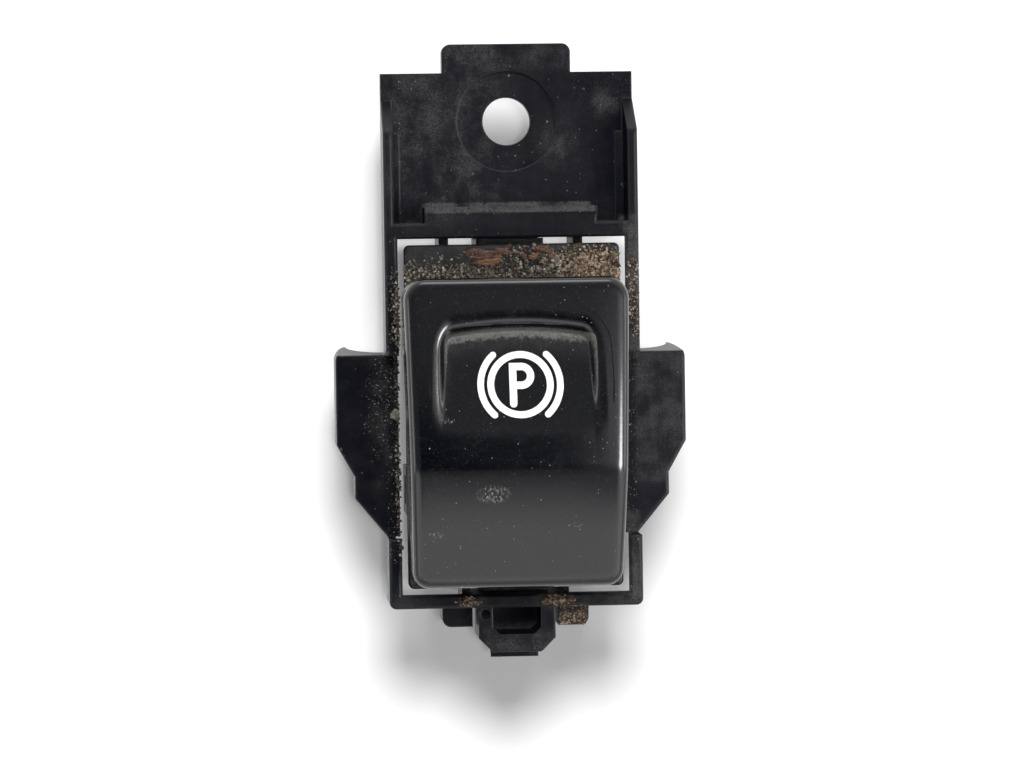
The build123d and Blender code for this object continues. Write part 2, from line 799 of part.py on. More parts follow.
def symbol_diffuser():
    """Milky plate bonded under the scoop's floor, behind the symbol."""
    low_z = scoop_foot_z - knob_wall
    slope = tan(scoop_angle())
    half = diffuser_length / 2
    top = [(symbol_y + half, low_z + slope * (scoop_foot_y - symbol_y - half)),
           (symbol_y - half, low_z + slope * (scoop_foot_y - symbol_y + half))]
    under = [(y, z - diffuser_thickness) for y, z in reversed(top)]
    return side_prism(top + under, (-diffuser_width / 2, diffuser_width / 2))


def pivot_pin():
    """Steel pin pressed in the case's neck."""
    pin = Rot(0, 90, 0) * Cylinder(pin_d / 2, neck_width - 2 * pin_inset)
    pin = chamfer(pin.edges().filter_by(GeomType.CIRCLE), pin_chamfer)
    return Pos(0, pivot_y, pivot_height) * pin


def return_spring(y):
    """Compression spring between a ledge and an arm of the carrier."""
    seat = spring_wire / 2 + spring_seat_gap
    height = arm_bottom - ledge_top - 2 * seat
    path = Helix(height / spring_turns, height, (spring_d - spring_wire) / 2)
    section = Plane(origin=path @ 0, z_dir=path % 0) * RegularPolygon(spring_wire / 2, wire_sides)
    return Pos(0, y, ledge_top + seat) * sweep(section, path=path)


def contact_slider():
    """Slider on two runners, moved along the board by the carrier's tail."""
    half = body_width / 2 - case_wall - swing_gap
    slider = block((-half, half), (slider_near, slider_far), (slider_bottom, slider_top))
    slider -= centred(2 * (half - runner_width), (slider_near - 1, slider_far + 1),
                      (slider_bottom - 1, slider_bottom + brush_room))
    slot = centred(tail_width + 2 * swing_gap,
                   (pivot_y - slot_width / 2, pivot_y + slot_width / 2),
                   (slider_bottom - 1, slider_top + 1))
    return slider - slot


def contact_brush(x):
    """Bent spring strip under the slider that wipes over the board."""
    top = slider_bottom + brush_room
    far = pivot_y - slot_width / 2 - brush_setback
    near = slider_near + brush_inset
    foot = near + brush_tip
    tip = board_top + wipe_gap
    bend = (far + near) / 2
    outline = [(far, top), (far, top - brush_thickness), (bend, top - brush_thickness),
               (foot, tip), (near, tip), (near, tip + brush_thickness),
               (foot, tip + brush_thickness), (bend, top)]
    return side_prism(outline, (x - brush_width / 2, x + brush_width / 2))


def write(name, piece):
    """Write one piece to its own file."""
    solids = piece.solids()
    assert len(solids) == 1, f"{name} has {len(solids)} solids"
    export_step(solids[0], f"parts/{name}.step")


write("mounting_bracket", mounting_bracket())
write("switch_case", switch_case())
write("base_cover", base_cover())
write("circuit_board", circuit_board())
for number, (pin_x, pin_y) in enumerate(pin_places(), start=1):
    write(f"terminal_pin_{number}", terminal_pin(pin_x, pin_y))
write("led_search", on_board(-led_spacing / 2, guide_y, led_length, led_width, led_height))
write("led_active", on_board(led_spacing / 2, guide_y, led_length, led_width, led_height))
chip_y = body_far - case_wall - board_gap - chip_setback - chip_width / 2
write("control_chip", on_board(0, chip_y, chip_length, chip_width, chip_height))
resistor_rows = (socket_y + pin_pitch, socket_y - pin_pitch)
for number, (side, row_y) in enumerate([(s, r) for r in resistor_rows for s in (-1, 1)], start=1):
    write(f"resistor_{number}",
          on_board(side * resistor_x, row_y, resistor_length, resistor_width, resistor_height))
write("light_guide", light_guide())
write("knob_cap", knob_cap())
write("knob_carrier", knob_carrier())
write("symbol_diffuser", symbol_diffuser())
write("pivot_pin", pivot_pin())
write("return_spring_far", return_spring(far_spring_y))
write("return_spring_near", return_spring(near_spring_y))
write("contact_slider", contact_slider())
write("contact_brush_left", contact_brush(-brush_x))
write("contact_brush_right", contact_brush(brush_x))
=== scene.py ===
import math
import random

import bmesh
import bpy
from mathutils import Euler, Matrix, Vector
from mathutils.bvhtree import BVHTree


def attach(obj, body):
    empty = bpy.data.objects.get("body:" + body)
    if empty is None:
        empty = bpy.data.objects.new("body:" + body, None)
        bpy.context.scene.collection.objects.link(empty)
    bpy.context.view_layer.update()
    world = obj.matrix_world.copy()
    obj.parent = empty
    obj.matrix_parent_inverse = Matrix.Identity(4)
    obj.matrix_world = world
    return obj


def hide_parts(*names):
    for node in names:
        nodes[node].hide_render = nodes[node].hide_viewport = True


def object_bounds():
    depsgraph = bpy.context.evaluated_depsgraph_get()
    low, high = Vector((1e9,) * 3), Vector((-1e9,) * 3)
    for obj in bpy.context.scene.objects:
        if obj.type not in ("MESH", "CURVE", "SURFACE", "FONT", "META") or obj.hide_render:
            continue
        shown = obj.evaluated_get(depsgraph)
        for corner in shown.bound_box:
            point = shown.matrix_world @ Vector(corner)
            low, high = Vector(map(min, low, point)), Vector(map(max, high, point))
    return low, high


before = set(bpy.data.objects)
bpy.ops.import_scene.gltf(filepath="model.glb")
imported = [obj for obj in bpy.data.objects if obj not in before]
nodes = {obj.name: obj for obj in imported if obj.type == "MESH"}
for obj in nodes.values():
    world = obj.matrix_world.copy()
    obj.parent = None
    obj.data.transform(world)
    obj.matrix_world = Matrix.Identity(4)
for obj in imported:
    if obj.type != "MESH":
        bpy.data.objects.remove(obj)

# An electric parking brake switch on its console bracket, seen from above, with the grit that has
# gathered round the knob. The dictionaries are in millimetres, which mm turns into the scene's metres;
# only the studio's lamps and floor are written in metres.
mm = 0.001
cadLow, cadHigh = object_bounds()
scene = bpy.context.scene
scene.view_settings.view_transform = "Standard"


class Wire:
    # one socket of a shader; sums with it add Math nodes
    def __init__(self, shader, socket):
        self.shader, self.socket = shader, socket

    def maths(self, operation, *values):
        return self.shader.node("ShaderNodeMath", {"operation": operation}, dict(enumerate(values)))

    def __add__(self, other):
        return self.maths("ADD", self, other)

    def __radd__(self, other):
        return self.maths("ADD", other, self)

    def __sub__(self, other):
        return self.maths("SUBTRACT", self, other)

    def __rsub__(self, other):
        return self.maths("SUBTRACT", other, self)

    def __mul__(self, other):
        return self.maths("MULTIPLY", self, other)

    def __rmul__(self, other):
        return self.maths("MULTIPLY", other, self)

    def __truediv__(self, other):
        return self.maths("DIVIDE", self, other)

    def __pow__(self, other):
        return self.maths("POWER", self, other)

    def size(self):
        return self.maths("ABSOLUTE", self)

    def most(self, other):
        return self.maths("MAXIMUM", self, other)

    def softMost(self, other, reach):
        return self.maths("SMOOTH_MAX", self, other, reach)

    def rise(self, low, high):
        # 0 below low, 1 above high, smooth between
        return self.shader.node("ShaderNodeMapRange", {"interpolation_type": "SMOOTHSTEP"},
                                {"Value": self, "From Min": low, "From Max": high})

    def fall(self, low, high):
        return 1 - self.rise(low, high)


class Shader:
    # the node tree of a material or of the world
    def __init__(self, owner):
        owner.use_nodes = True
        self.owner, self.tree = owner, owner.node_tree
        self.tree.nodes.clear()

    def node(self, kind, settings=None, sockets=None, output=0):
        made = self.tree.nodes.new(kind)
        for name, value in (settings or {}).items():
            if name == "stops":
                self.setStops(made.color_ramp, value)
            else:
                setattr(made, name, value)
        for name, value in (sockets or {}).items():
            if isinstance(value, Wire):
                self.tree.links.new(value.socket, made.inputs[name])
            else:
                made.inputs[name].default_value = value
        return Wire(self, made.outputs[output]) if made.outputs else None

    def setStops(self, ramp, stops):
        while len(ramp.elements) < len(stops):
            ramp.elements.new(1.0)
        for element, (place, colour) in zip(ramp.elements, stops):
            element.position, element.color = place, (*colour, 1.0)

    def mix(self, factor, first, second):
        first, second = [value if isinstance(value, Wire) else (*value, 1.0) for value in (first, second)]
        return self.node("ShaderNodeMix", {"data_type": "RGBA"}, {0: factor, 6: first, 7: second}, 2)

    def ramp(self, factor, stops):
        return self.node("ShaderNodeValToRGB", {"stops": stops}, {"Fac": factor})

    def place(self):
        return self.node("ShaderNodeTexCoord", output="Object")

    def axes(self, vector):
        split = self.node("ShaderNodeSeparateXYZ", sockets={0: vector})
        return [Wire(self, socket) for socket in split.socket.node.outputs]

    def moved(self, vector, offset=(0, 0, 0), stretch=(1, 1, 1)):
        sockets = {"Vector": vector, "Location": offset, "Scale": stretch}
        return self.node("ShaderNodeMapping", sockets=sockets)

    def alignment(self, first, second):
        # cosine of the angle between two directions
        sockets = {0: first, 1: second}
        return self.node("ShaderNodeVectorMath", {"operation": "DOT_PRODUCT"}, sockets, "Value")

    def noise(self, vector, cell, detail=2.0, rough=0.5):
        # cell is the size of one soft patch, in metres
        return self.node("ShaderNodeTexNoise", {"noise_dimensions": "3D"},
                         {"Vector": vector, "Scale": 1 / cell, "Detail": detail, "Roughness": rough})

    def specks(self, vector, dots):
        # round dots of uneven strength: the size of a cell, the radius and the share of cells with one
        cell, radius, share = dots[0] * mm, dots[1] * mm, dots[2]
        cells = self.node("ShaderNodeTexVoronoi", {"feature": "F1"}, {"Vector": vector, "Scale": 1 / cell},
                          "Color")
        apart = Wire(self, cells.socket.node.outputs["Distance"])
        lot, spread, _ = self.axes(cells)
        core, weakest = 0.6, 0.4
        kept = apart.fall(radius / cell * core, radius / cell) * lot.rise(1 - share, 1 - share + 0.01)
        return kept * (weakest + (1 - weakest) * spread)

    def patch(self, x, y, box, soft):
        # 1 inside a box given in millimetres, fading over its border
        left, right, near, far = [edge * mm for edge in box]
        soft = soft / 2 * mm
        return x.rise(left - soft, left + soft) * x.fall(right - soft, right + soft) \
            * y.rise(near - soft, near + soft) * y.fall(far - soft, far + soft)

    def bump(self, height, depth, normal=None):
        sockets = {"Height": height, "Distance": depth, "Strength": 1.0}
        if normal is not None:
            sockets["Normal"] = normal
        return self.node("ShaderNodeBump", sockets=sockets)

    def roundEdges(self, radius):
        return self.node("ShaderNodeBevel", {"samples": 6}, {"Radius": radius}, "Normal")

    def edges(self, rounded):
        # 1 on sharp edges, 0 on plain faces, where the rounded normal is the face's own
        flat = self.node("ShaderNodeNewGeometry", output="Normal")
        return self.alignment(rounded, flat).fall(0.86, 0.995)

    def finish(self, sockets):
        bsdf = self.node("ShaderNodeBsdfPrincipled", sockets=sockets)
        self.node("ShaderNodeOutputMaterial", sockets={"Surface": bsdf})
        return self.owner


def newShader(name):
    return Shader(bpy.data.materials.new(name))


def newPiece(name, mesh, material, body):
    piece = bpy.data.objects.new(name, mesh)
    scene.collection.objects.link(piece)
    mesh.materials.clear()
    mesh.materials.append(material)
    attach(piece, body)
    return piece


def skinOf(*names):
    # a tree of the named nodes' faces, to set small pieces down on
    points, faces = [], []
    for name in names:
        mesh, start = nodes[name].data, len(points)
        points += [vertex.co.copy() for vertex in mesh.vertices]
        faces += [[start + index for index in polygon.vertices] for polygon in mesh.polygons]
    return BVHTree.FromPolygons(points, faces)


def below(skin, x, y):
    # where something dropped from well above comes to rest, or None
    drop = 100 * mm
    return skin.ray_cast(Vector((x, y, drop)), Vector((0, 0, -1)))[0]


# camera: the photograph's own, looking down from 45 cm; its turn is in radians
camera = {
    "place": (-28.784, -12.930, 450.0), "turn": (-0.03164, -0.06499, -0.01448), "lens": 150.37,
    "sensor": 36.0, "clip": (10.0, 20000.0),
}


def makeCamera():
    data = bpy.data.cameras.new("camera")
    data.lens, data.sensor_width = camera["lens"], camera["sensor"]
    data.clip_start, data.clip_end = [reach * mm for reach in camera["clip"]]
    eye = bpy.data.objects.new("camera", data)
    eye.location = Vector(camera["place"]) * mm
    eye.rotation_euler = camera["turn"]
    scene.collection.objects.link(eye)
    scene.camera = eye
    print("camera set")


# studio: a pale floor with a glowing patch of painted light under the far slots, a soft lamp beyond the far
# end, a small one overhead, and a dim room with bright windows that only the reflections see
studio = {
    "floorSize": 4.0, "floorColour": (0.80, 0.80, 0.80), "floorLift": 0.13, "floorGap": 0.00002,
    "lamps": {
        "farLamp": {"place": (-0.015, 0.20, 0.64), "size": 0.17, "power": 5.2},
        "topLamp": {"place": (-0.02, -0.01, 0.75), "size": 0.03, "power": 1.1},
    },
    "lampAim": (0.0, -0.03, 0.0),
    # painted light: a glowing patch on the floor under the far slots, where light through them would fall:
    # left, right, near, far and fading, in millimetres
    "slotPaintedLight": 0.35, "slotPlace": (-11.6, 15.2, -13.2, -10.4), "slotSoft": 1.8,
    # the room: what lights the object, then what it mirrors low down and overhead
    "roomPlain": 0.17, "roomLow": 1.05, "roomHigh": 0.34, "roomLean": 0.4, "roomTurn": (0.1, 0.8),
    # dark stretch of the ceiling: where it fades in and out across, along and upwards
    "ceiling": {
        "right": (0.08, 0.30), "left": (-0.46, -0.26), "near": (-0.42, -0.26), "far": (-0.02, 0.17),
        "up": (0.3, 0.7),
    },
    "windows": [
        # inner: the degrees at full strength; outer: where it has faded out
        {"towards": (0.0, -0.83, 0.56), "inner": 5, "outer": 25, "gain": 1.3},
        {"towards": (-0.62, -0.62, 0.48), "inner": 6, "outer": 30, "gain": 1.4},
        {"towards": (0.62, -0.62, 0.48), "inner": 6, "outer": 30, "gain": 1.4},
        {"towards": (-1.0, 0.0, 0.02), "inner": 6, "outer": 24, "gain": 2.6},
        {"towards": (0.0, 1.0, 0.02), "inner": 6, "outer": 26, "gain": 4.5},
        {"towards": (1.0, 0.0, 0.02), "inner": 6, "outer": 24, "gain": 2.6},
        {"towards": (0.6, -0.03, 0.80), "inner": 6, "outer": 33, "gain": 1.7},
        {"towards": (0.62, -0.15, 0.77), "inner": 5, "outer": 16, "gain": 24.0},
    ],
}


def makeFloor():
    mesh = bpy.data.meshes.new("floor")
    half = studio["floorSize"] / 2
    level = cadLow.z - studio["floorGap"]
    corners = [(-half, -half, level), (half, -half, level), (half, half, level), (-half, half, level)]
    mesh.from_pydata(corners, [], [(0, 1, 2, 3)])
    floor = bpy.data.objects.new("floor", mesh)
    scene.collection.objects.link(floor)
    shader = newShader("paleFloor")
    # the floor's own lift is only seen and mirrored, and lights nothing
    seen = shader.node("ShaderNodeLightPath", output="Is Camera Ray")
    rays = seen.socket.node.outputs
    for ray in ("Is Glossy Ray", "Is Transmission Ray"):
        seen = seen.most(Wire(shader, rays[ray]))
    matt = shader.node("ShaderNodeBsdfDiffuse", sockets={"Color": (*studio["floorColour"], 1.0)})
    x, y, _ = shader.axes(shader.place())
    # painted light: the floor glows in a patch under the far slots, as if lit through them
    slots = shader.patch(x, y, studio["slotPlace"], studio["slotSoft"])
    glow = shader.node("ShaderNodeEmission",
                       sockets={"Strength": studio["floorLift"] + studio["slotPaintedLight"] * slots})
    lifted = shader.node("ShaderNodeAddShader", sockets={0: matt, 1: glow})
    both = shader.node("ShaderNodeMixShader", sockets={0: seen, 1: matt, 2: lifted})
    shader.node("ShaderNodeOutputMaterial", sockets={"Surface": both})
    mesh.materials.append(shader.owner)
    print("floor laid")


def makeLamps():
    for name, look in studio["lamps"].items():
        lamp = bpy.data.lights.new(name, "AREA")
        lamp.shape, lamp.size, lamp.energy = "DISK", look["size"], look["power"]
        stand = bpy.data.objects.new(name, lamp)
        stand.location = look["place"]
        aim = Vector(studio["lampAim"]) - stand.location
        stand.rotation_euler = aim.to_track_quat("-Z", "Y").to_euler()
        stand.visible_glossy = False
        stand.visible_camera = False
        scene.collection.objects.link(stand)
    print("lamps hung:", len(studio["lamps"]))


def makeRoom():
    world = bpy.data.worlds.new("room")
    scene.world = world
    shader = Shader(world)
    towards = shader.node("ShaderNodeTexCoord", output="Generated")
    across, along, height = shader.axes(towards)

    def pane(look):
        aim = Vector(look["towards"]).normalized()
        outer, inner = [math.cos(math.radians(look[reach])) for reach in ("outer", "inner")]
        return shader.alignment(towards, aim).rise(outer, inner)

    low, high = studio["roomLow"], studio["roomHigh"]
    room = (low - (low - high) * height.rise(*studio["roomTurn"])) * (1 + studio["roomLean"] * across)
    dark = studio["ceiling"]
    shade = across.fall(*dark["right"]) * across.rise(*dark["left"]) * along.rise(*dark["near"])
    room = room * (1 - shade * along.fall(*dark["far"]) * height.rise(*dark["up"]))
    for window in studio["windows"]:
        room = room + window["gain"] * pane(window)
    mirrored = shader.node("ShaderNodeLightPath", output="Is Glossy Ray")
    strength = studio["roomPlain"] + (room - studio["roomPlain"]) * mirrored
    back = shader.node("ShaderNodeBackground", sockets={"Color": (1, 1, 1, 1), "Strength": strength})
    shader.node("ShaderNodeOutputWorld", sockets={"Surface": back})
    print("room lit, windows:", len(studio["windows"]))


# moulded black plastic of the bracket, the case and the cover; grain is the size of its texture and
# depth its height, seed moves the texture, in metres, and sheen is the Specular IOR Level
mouldings = {
    "bracketPlastic": {"colour": (0.0022, 0.0025, 0.0046), "rough": 0.33, "grain": 0.15, "depth": 0.014,
                       "dust": 1.0, "filmAndLight": 0.05, "seed": 0.0, "sheen": 0.14},
    "casePlastic": {"colour": (0.0040, 0.0042, 0.0055), "rough": 0.38, "grain": 0.18, "depth": 0.012,
                    "dust": 1.0, "filmAndLight": 0.2, "seed": 0.31, "sheen": 0.35},
    "coverPlastic": {"colour": (0.0055, 0.0057, 0.0070), "rough": 0.42, "grain": 0.2, "depth": 0.008,
                     "dust": 0.3, "filmAndLight": 0.12, "seed": 0.57, "sheen": 0.4},
}
# tones of dust; the lighter coat's tone also serves as painted light on the bracket
dust = {
    "tan": (0.20, 0.165, 0.125), "pale": (0.34, 0.33, 0.31), "filmAndLight": (0.060, 0.058, 0.058),
    "patchCell": 3.0, "streakCell": 0.9, "fine": (0.45, 0.1, 0.12), "coarse": (1.3, 0.2, 0.12),
}
# painted highlight: sharp edges of the plastics are lightened as if they caught the light; colour, rounding
# radius in mm, strength
edgeHighlight = {"colour": (0.030, 0.031, 0.034), "radius": 0.3, "strength": 0.6}
# where a lighter coat lies thick on the bracket, as dust and as painted light on the right side, the
# plate's left half and the boss's bar: left, right, near, far; fading; strength
dustAndLightPlaces = [
    ((-12.8, -1.0, -10.0, 6.0), 6.0, 0.22), ((-6.8, 6.8, 5.6, 9.0), 2.0, 0.2),
    ((4.3, 6.4, -4.2, -0.8), 4.0, 0.4), ((-8.9, 8.7, -9.55, -8.5), 0.25, 1.0),
    ((9.2, 11.8, 0.8, 3.0), 2.0, 0.3), ((13.1, 19.0, -38.0, -23.0), 0.7, 0.22),
    ((-14.6, -12.6, -38.0, -23.0), 1.8, 0.12), ((11.6, 13.4, -25.0, -10.0), 0.5, 0.65),
    ((2.0, 13.4, -51.0, -49.0), 1.2, 0.42), ((-13.4, -3.0, -51.0, -49.0), 1.2, 0.15),
    ((11.8, 13.4, -50.0, -41.0), 0.5, 0.5), ((4.2, 8.0, -53.0, -50.4), 0.6, 0.35),
    ((-3.4, 4.2, -56.0, -52.8), 0.8, 0.22),
]


def mouldedPlastic(name):
    look = mouldings[name]
    shader = newShader(name)
    here = shader.place()
    spot = shader.moved(here, offset=(look["seed"], 0, 0))
    rounded = shader.roundEdges(edgeHighlight["radius"] * mm)
    edge = shader.edges(rounded)
    up = shader.axes(shader.node("ShaderNodeTexCoord", output="Normal"))[2].rise(0.2, 0.9)
    patches = shader.noise(spot, dust["patchCell"] * mm, 6.0, 0.7).rise(0.38, 0.66)
    smeared = shader.moved(spot, stretch=(1, 0.2, 1))
    streaks = shader.noise(smeared, dust["streakCell"] * mm, 3.0, 0.65).rise(0.42, 0.72)
    # painted light: besides dust, these boxes lighten the right side, the left half of the plate and the
    # boss's bar where light falls on them
    thick = look["filmAndLight"]
    if name == "bracketPlastic":
        x, y, _ = shader.axes(here)
        for box, soft, amount in dustAndLightPlaces:
            thick = thick + amount * shader.patch(x, y, box, soft)
    grain = shader.noise(spot, look["grain"] * mm, 3.0, 0.6)
    # the coat, dust and painted light, lies only on faces that look up, in patches and streaks, and is
    # broken by the grain
    filmAndLight = up * thick * (0.1 + 1.1 * patches + 0.45 * streaks) * (0.3 + 1.4 * grain.rise(0.35, 0.65))
    fine = shader.specks(spot, dust["fine"]) * up
    coarse = shader.specks(shader.moved(spot, offset=(0.4, 0.2, 0)), dust["coarse"]) * up
    # a lighter coat: dust, and painted light in the boxes above
    colour = shader.mix(filmAndLight, look["colour"], dust["filmAndLight"])
    # painted highlight along the sharp edges
    colour = shader.mix(edge * edgeHighlight["strength"], colour, edgeHighlight["colour"])
    colour = shader.mix(fine * (0.2 + 0.5 * patches) * look["dust"], colour, dust["tan"])
    colour = shader.mix(coarse * patches * 0.7 * look["dust"], colour, dust["pale"])
    bumped = shader.bump(grain + 2.5 * (fine + coarse), look["depth"] * mm, rounded)
    rough = look["rough"] + 0.5 * filmAndLight + 0.1 * (grain - 0.5)
    return shader.finish({"Base Color": colour, "Roughness": rough, "Normal": bumped,
                          "Specular IOR Level": look["sheen"]})


# satin knob, with grit left along the foot of its scoop and scuffs over the crest
knobLook = {
    "colour": (0.0006, 0.0009, 0.0022), "rough": 0.15,
    # edge of the scoop's floor: a far arch, two flaring sides and the blend of its corners
    "archCentre": -61.15, "footRadius": 39.75, "footHalf": 7.5, "footFlare": 0.04, "footFrom": -19.15,
    "sideGain": 3.2, "cornerBlend": 1.6,
    # the strip of grit, outwards of that edge: where it rises and falls, and how it thins out nearwards
    "stripRise": (-1.15, -0.6), "stripFall": (-0.05, 0.2), "stripAlong": (-27.0, -20.6),
    # the thin veil inside the strip
    "veilRise": (-3.6, -0.5), "veilFall": (-0.1, 0.2), "veilAlong": (-31.0, -20.0),
    # specks: size of a cell, radius, share of cells with one
    "powder": (0.17, 0.06, 0.22), "fine": (0.45, 0.07, 0.14), "coarse": (1.7, 0.12, 0.16),
    # scuffs: x, y, reach across and along, grain, strength
    "scuffs": [
        (-3.0, -38.1, 2.0, 1.1, 0.3, 1.0), (-8.8, -42.2, 0.9, 0.5, 0.25, 0.8),
        (5.3, -41.4, 0.9, 0.3, 0.25, 0.8), (-7.6, -30.6, 1.0, 0.35, 0.2, 0.8),
    ],
    "tones": {
        "haze": (0.0040, 0.0042, 0.0054), "speckle": (0.0075, 0.0078, 0.0095),
        "veil": (0.052, 0.052, 0.052), "powder": (0.045, 0.046, 0.048), "fine": (0.24, 0.24, 0.24),
        "coarse": (0.50, 0.50, 0.48), "scuffs": (0.28, 0.28, 0.28), "strip": (0.20, 0.197, 0.187),
    },
}


def knobPlastic():
    look = knobLook
    shader = newShader("knobPlastic")
    spot = shader.place()
    x, y, _ = shader.axes(spot)

    def span(name):
        return [edge * mm for edge in look[name]]

    # distance outwards from the edge of the scoop's floor
    fromArch = ((y - look["archCentre"] * mm) ** 2 + x ** 2) ** 0.5 - look["footRadius"] * mm
    fromSide = x.size() - look["footHalf"] * mm - look["footFlare"] * (look["footFrom"] * mm - y)
    outward = fromArch.softMost(fromSide * look["sideGain"], look["cornerBlend"] * mm)
    ragged = shader.noise(spot, 0.55 * mm, 4.0, 0.75) - 0.5
    grit = shader.noise(spot, 0.11 * mm, 3.0, 0.8).rise(0.4, 0.62)
    strip = (outward + ragged * 1.3 * mm).rise(*span("stripRise")) * outward.fall(*span("stripFall"))
    strip = strip * (y + ragged * 4 * mm).rise(*span("stripAlong")) * (0.25 + 0.75 * grit)
    powder, fine = [shader.specks(spot, look[name]) for name in ("powder", "fine")]
    coarse = shader.specks(shader.moved(spot, offset=(0.3, 0.1, 0)), look["coarse"])
    haze = shader.noise(spot, 2.2 * mm, 6.0, 0.7).rise(0.42, 0.72)

    def scuff(cx, cy, rx, ry, cell, strength):
        reach = (((x - cx * mm) / (rx * mm)) ** 2 + ((y - cy * mm) / (ry * mm)) ** 2).fall(0.2, 1.0)
        marks = shader.noise(shader.moved(spot, stretch=(1.4, 0.7, 1)), cell * mm, 4.0, 0.75)
        return strength * (reach * marks.rise(0.5, 0.66))

    scuffs = scuff(*look["scuffs"][0])
    for place in look["scuffs"][1:]:
        scuffs = scuffs.most(scuff(*place))
    veil = outward.rise(*span("veilRise")) * outward.fall(*span("veilFall")) * y.rise(*span("veilAlong"))
    veil = veil * (0.5 + 0.5 * haze) * (0.5 + 0.5 * grit)
    speckle = shader.noise(spot, 0.13 * mm, 2.0, 0.6).rise(0.42, 0.72)
    colour = look["colour"]
    for name, amount in (("haze", haze * 0.2), ("speckle", speckle * 0.7), ("veil", veil * 0.75),
                         ("powder", powder * (0.35 + 0.65 * haze)), ("fine", fine * 0.85),
                         ("coarse", coarse * 0.95), ("scuffs", scuffs * 0.8), ("strip", strip * 0.9)):
        colour = shader.mix(amount, colour, look["tones"][name])
    rough = look["rough"] + 0.45 * strip + 0.3 * scuffs + 0.06 * haze
    dirtHeight = 2.0 * strip * grit + fine + coarse
    bumped = shader.bump(dirtHeight + 0.3 * shader.noise(spot, 0.25 * mm, 3.0), 0.012 * mm)
    return shader.finish({"Base Color": colour, "Roughness": rough, "Normal": bumped})


# the knob's outer form, in millimetres: a crowned top with a soft scoop, inside the drafted outline
knobForm = {
    "far": -16.3, "near": -47.9, "farHalf": 11.42, "nearHalf": 10.68, "farCorner": 2.2, "nearCorner": 1.6,
    # the shoulder round the top, then the side down to the skirt; the skin stands a little to the left
    "edge": 1.25, "edgePower": 2.5, "edgeSteps": 12, "skirt": 10.5, "skirtSteps": 3, "drawIn": -0.05,
    "shift": -0.3,
    # crown, crest and slope, with the angles in degrees; sideFall lowers the top by x squared and x ** 4
    "crestY": -34.9, "crestTop": 20.59, "crownRadius": 107.8, "crestRadius": 5.0, "turn": 15.0,
    "ease": 6.0, "slope": 23.5, "sideFall": (0.0006, 0.000018),
    # scoop: its arched far rim, its flaring sides, the widths of its walls and the break at their rim
    "scoopArch": 42.0, "scoopFar": -19.2, "scoopHalf": 8.55, "scoopFlare": 0.04, "scoopCorner": 3.6,
    "scoopWall": 2.6, "sideWall": 1.5, "wallShape": 2.9, "rimBreak": (0.13, 0.25), "breakDepth": 0.5,
    # ramp: a point of its floor (y, z), its rise and its soft run-out into the crest
    "rampFoot": (-21.3, 17.3), "rampRise": 0.3169, "blend": 0.17, "runOut": 1.5,
    # size of one face of the top, and what of the model's own knob is kept as the hollow inside
    "cell": 0.17, "hollowGap": 0.7, "hollowTurn": 0.5,
}


def crownHeight(x, y):
    # a slack crown, a tight turn over the crest, a slack ease and the plain near slope
    look = knobForm
    run, radius = look["crestY"] - y, look["crestRadius"]
    turn, slope = math.radians(look["turn"]), math.radians(look["slope"])
    turned = radius * math.sin(turn)
    slack = look["ease"] / (math.sin(slope) - math.sin(turn))
    centre = turned - slack * math.sin(turn)
    height = look["crestTop"]
    if run < 0:
        height -= look["crownRadius"] - math.sqrt(look["crownRadius"] ** 2 - run ** 2)
    elif run < turned:
        height -= radius - math.sqrt(radius ** 2 - run ** 2)
    else:
        reach = min(run, turned + look["ease"]) - centre
        eased = slack * math.cos(turn) - math.sqrt(slack ** 2 - reach ** 2)
        height -= radius * (1 - math.cos(turn)) + eased
        height -= max(0.0, run - turned - look["ease"]) * math.tan(slope)
    square, fourth = look["sideFall"]
    return height - square * x ** 2 - fourth * x ** 4


def scoopInward(x, y):
    # distance from the scoop's rim, inwards; the side walls are steeper than the far one
    look = knobForm
    corner = look["scoopCorner"]
    arch = look["scoopArch"] - math.hypot(x, y - look["scoopFar"] + look["scoopArch"])
    side = look["scoopHalf"] + look["scoopFlare"] * (look["scoopFar"] - y) - abs(x)
    side *= look["scoopWall"] / look["sideWall"]
    a, b = corner - arch, corner - side
    return corner - math.hypot(a, b) if a > 0 and b > 0 else min(arch, side)


def knobHeight(x, y):
    look = knobForm
    crown = crownHeight(x, y)
    footY, footZ = look["rampFoot"]
    depth = crown - footZ - look["rampRise"] * (footY - y)
    soft = look["blend"]
    depth = 0.5 * (depth + math.sqrt(depth * depth + soft * soft)) if depth > -look["runOut"] else 0.0
    inward = max(0.0, scoopInward(x, y))
    t = min(1.0, inward / look["scoopWall"]) ** look["wallShape"]
    wall = t * t * (3 - 2 * t)
    # a slight break at the rim, then the wall
    lean, turn = look["rimBreak"]
    broken = lean * (math.sqrt(inward * inward + turn * turn) - turn)
    broken *= 1 - math.exp(-depth / look["breakDepth"])
    return crown - broken * (1 - wall) - depth * wall


def planPoint(u, v, inset):
    # a point of the square (-1..1) set into the knob's plan; with its outward direction
    look = knobForm
    far, near = look["far"] - inset, look["near"] + inset
    y = near + (v + 1) / 2 * (far - near)

    def half(at):
        part = (at - look["near"]) / (look["far"] - look["near"])
        return look["nearHalf"] + (look["farHalf"] - look["nearHalf"]) * part - inset

    x = abs(u) * half(y)
    end, sign = (far, 1) if v > 0 else (near, -1)
    smallest = 0.05
    radius = max((look["farCorner"] if v > 0 else look["nearCorner"]) - inset, smallest)
    a, b = (x - half(y) + radius) / radius, (sign * (y - end) + radius) / radius
    if a > 0 and b > 0:
        a, b = a * math.sqrt(1 - b * b / 2), b * math.sqrt(1 - a * a / 2)
        y = end - sign * radius * (1 - b)
        x = half(y) - radius + radius * a
        out = Vector((a, sign * b)).normalized()
    elif a > b:
        out = Vector((1.0, 0.0))
    else:
        out = Vector((0.0, float(sign)))
    return math.copysign(x, u), y, Vector((math.copysign(out.x, u) if out.x else 0.0, out.y))


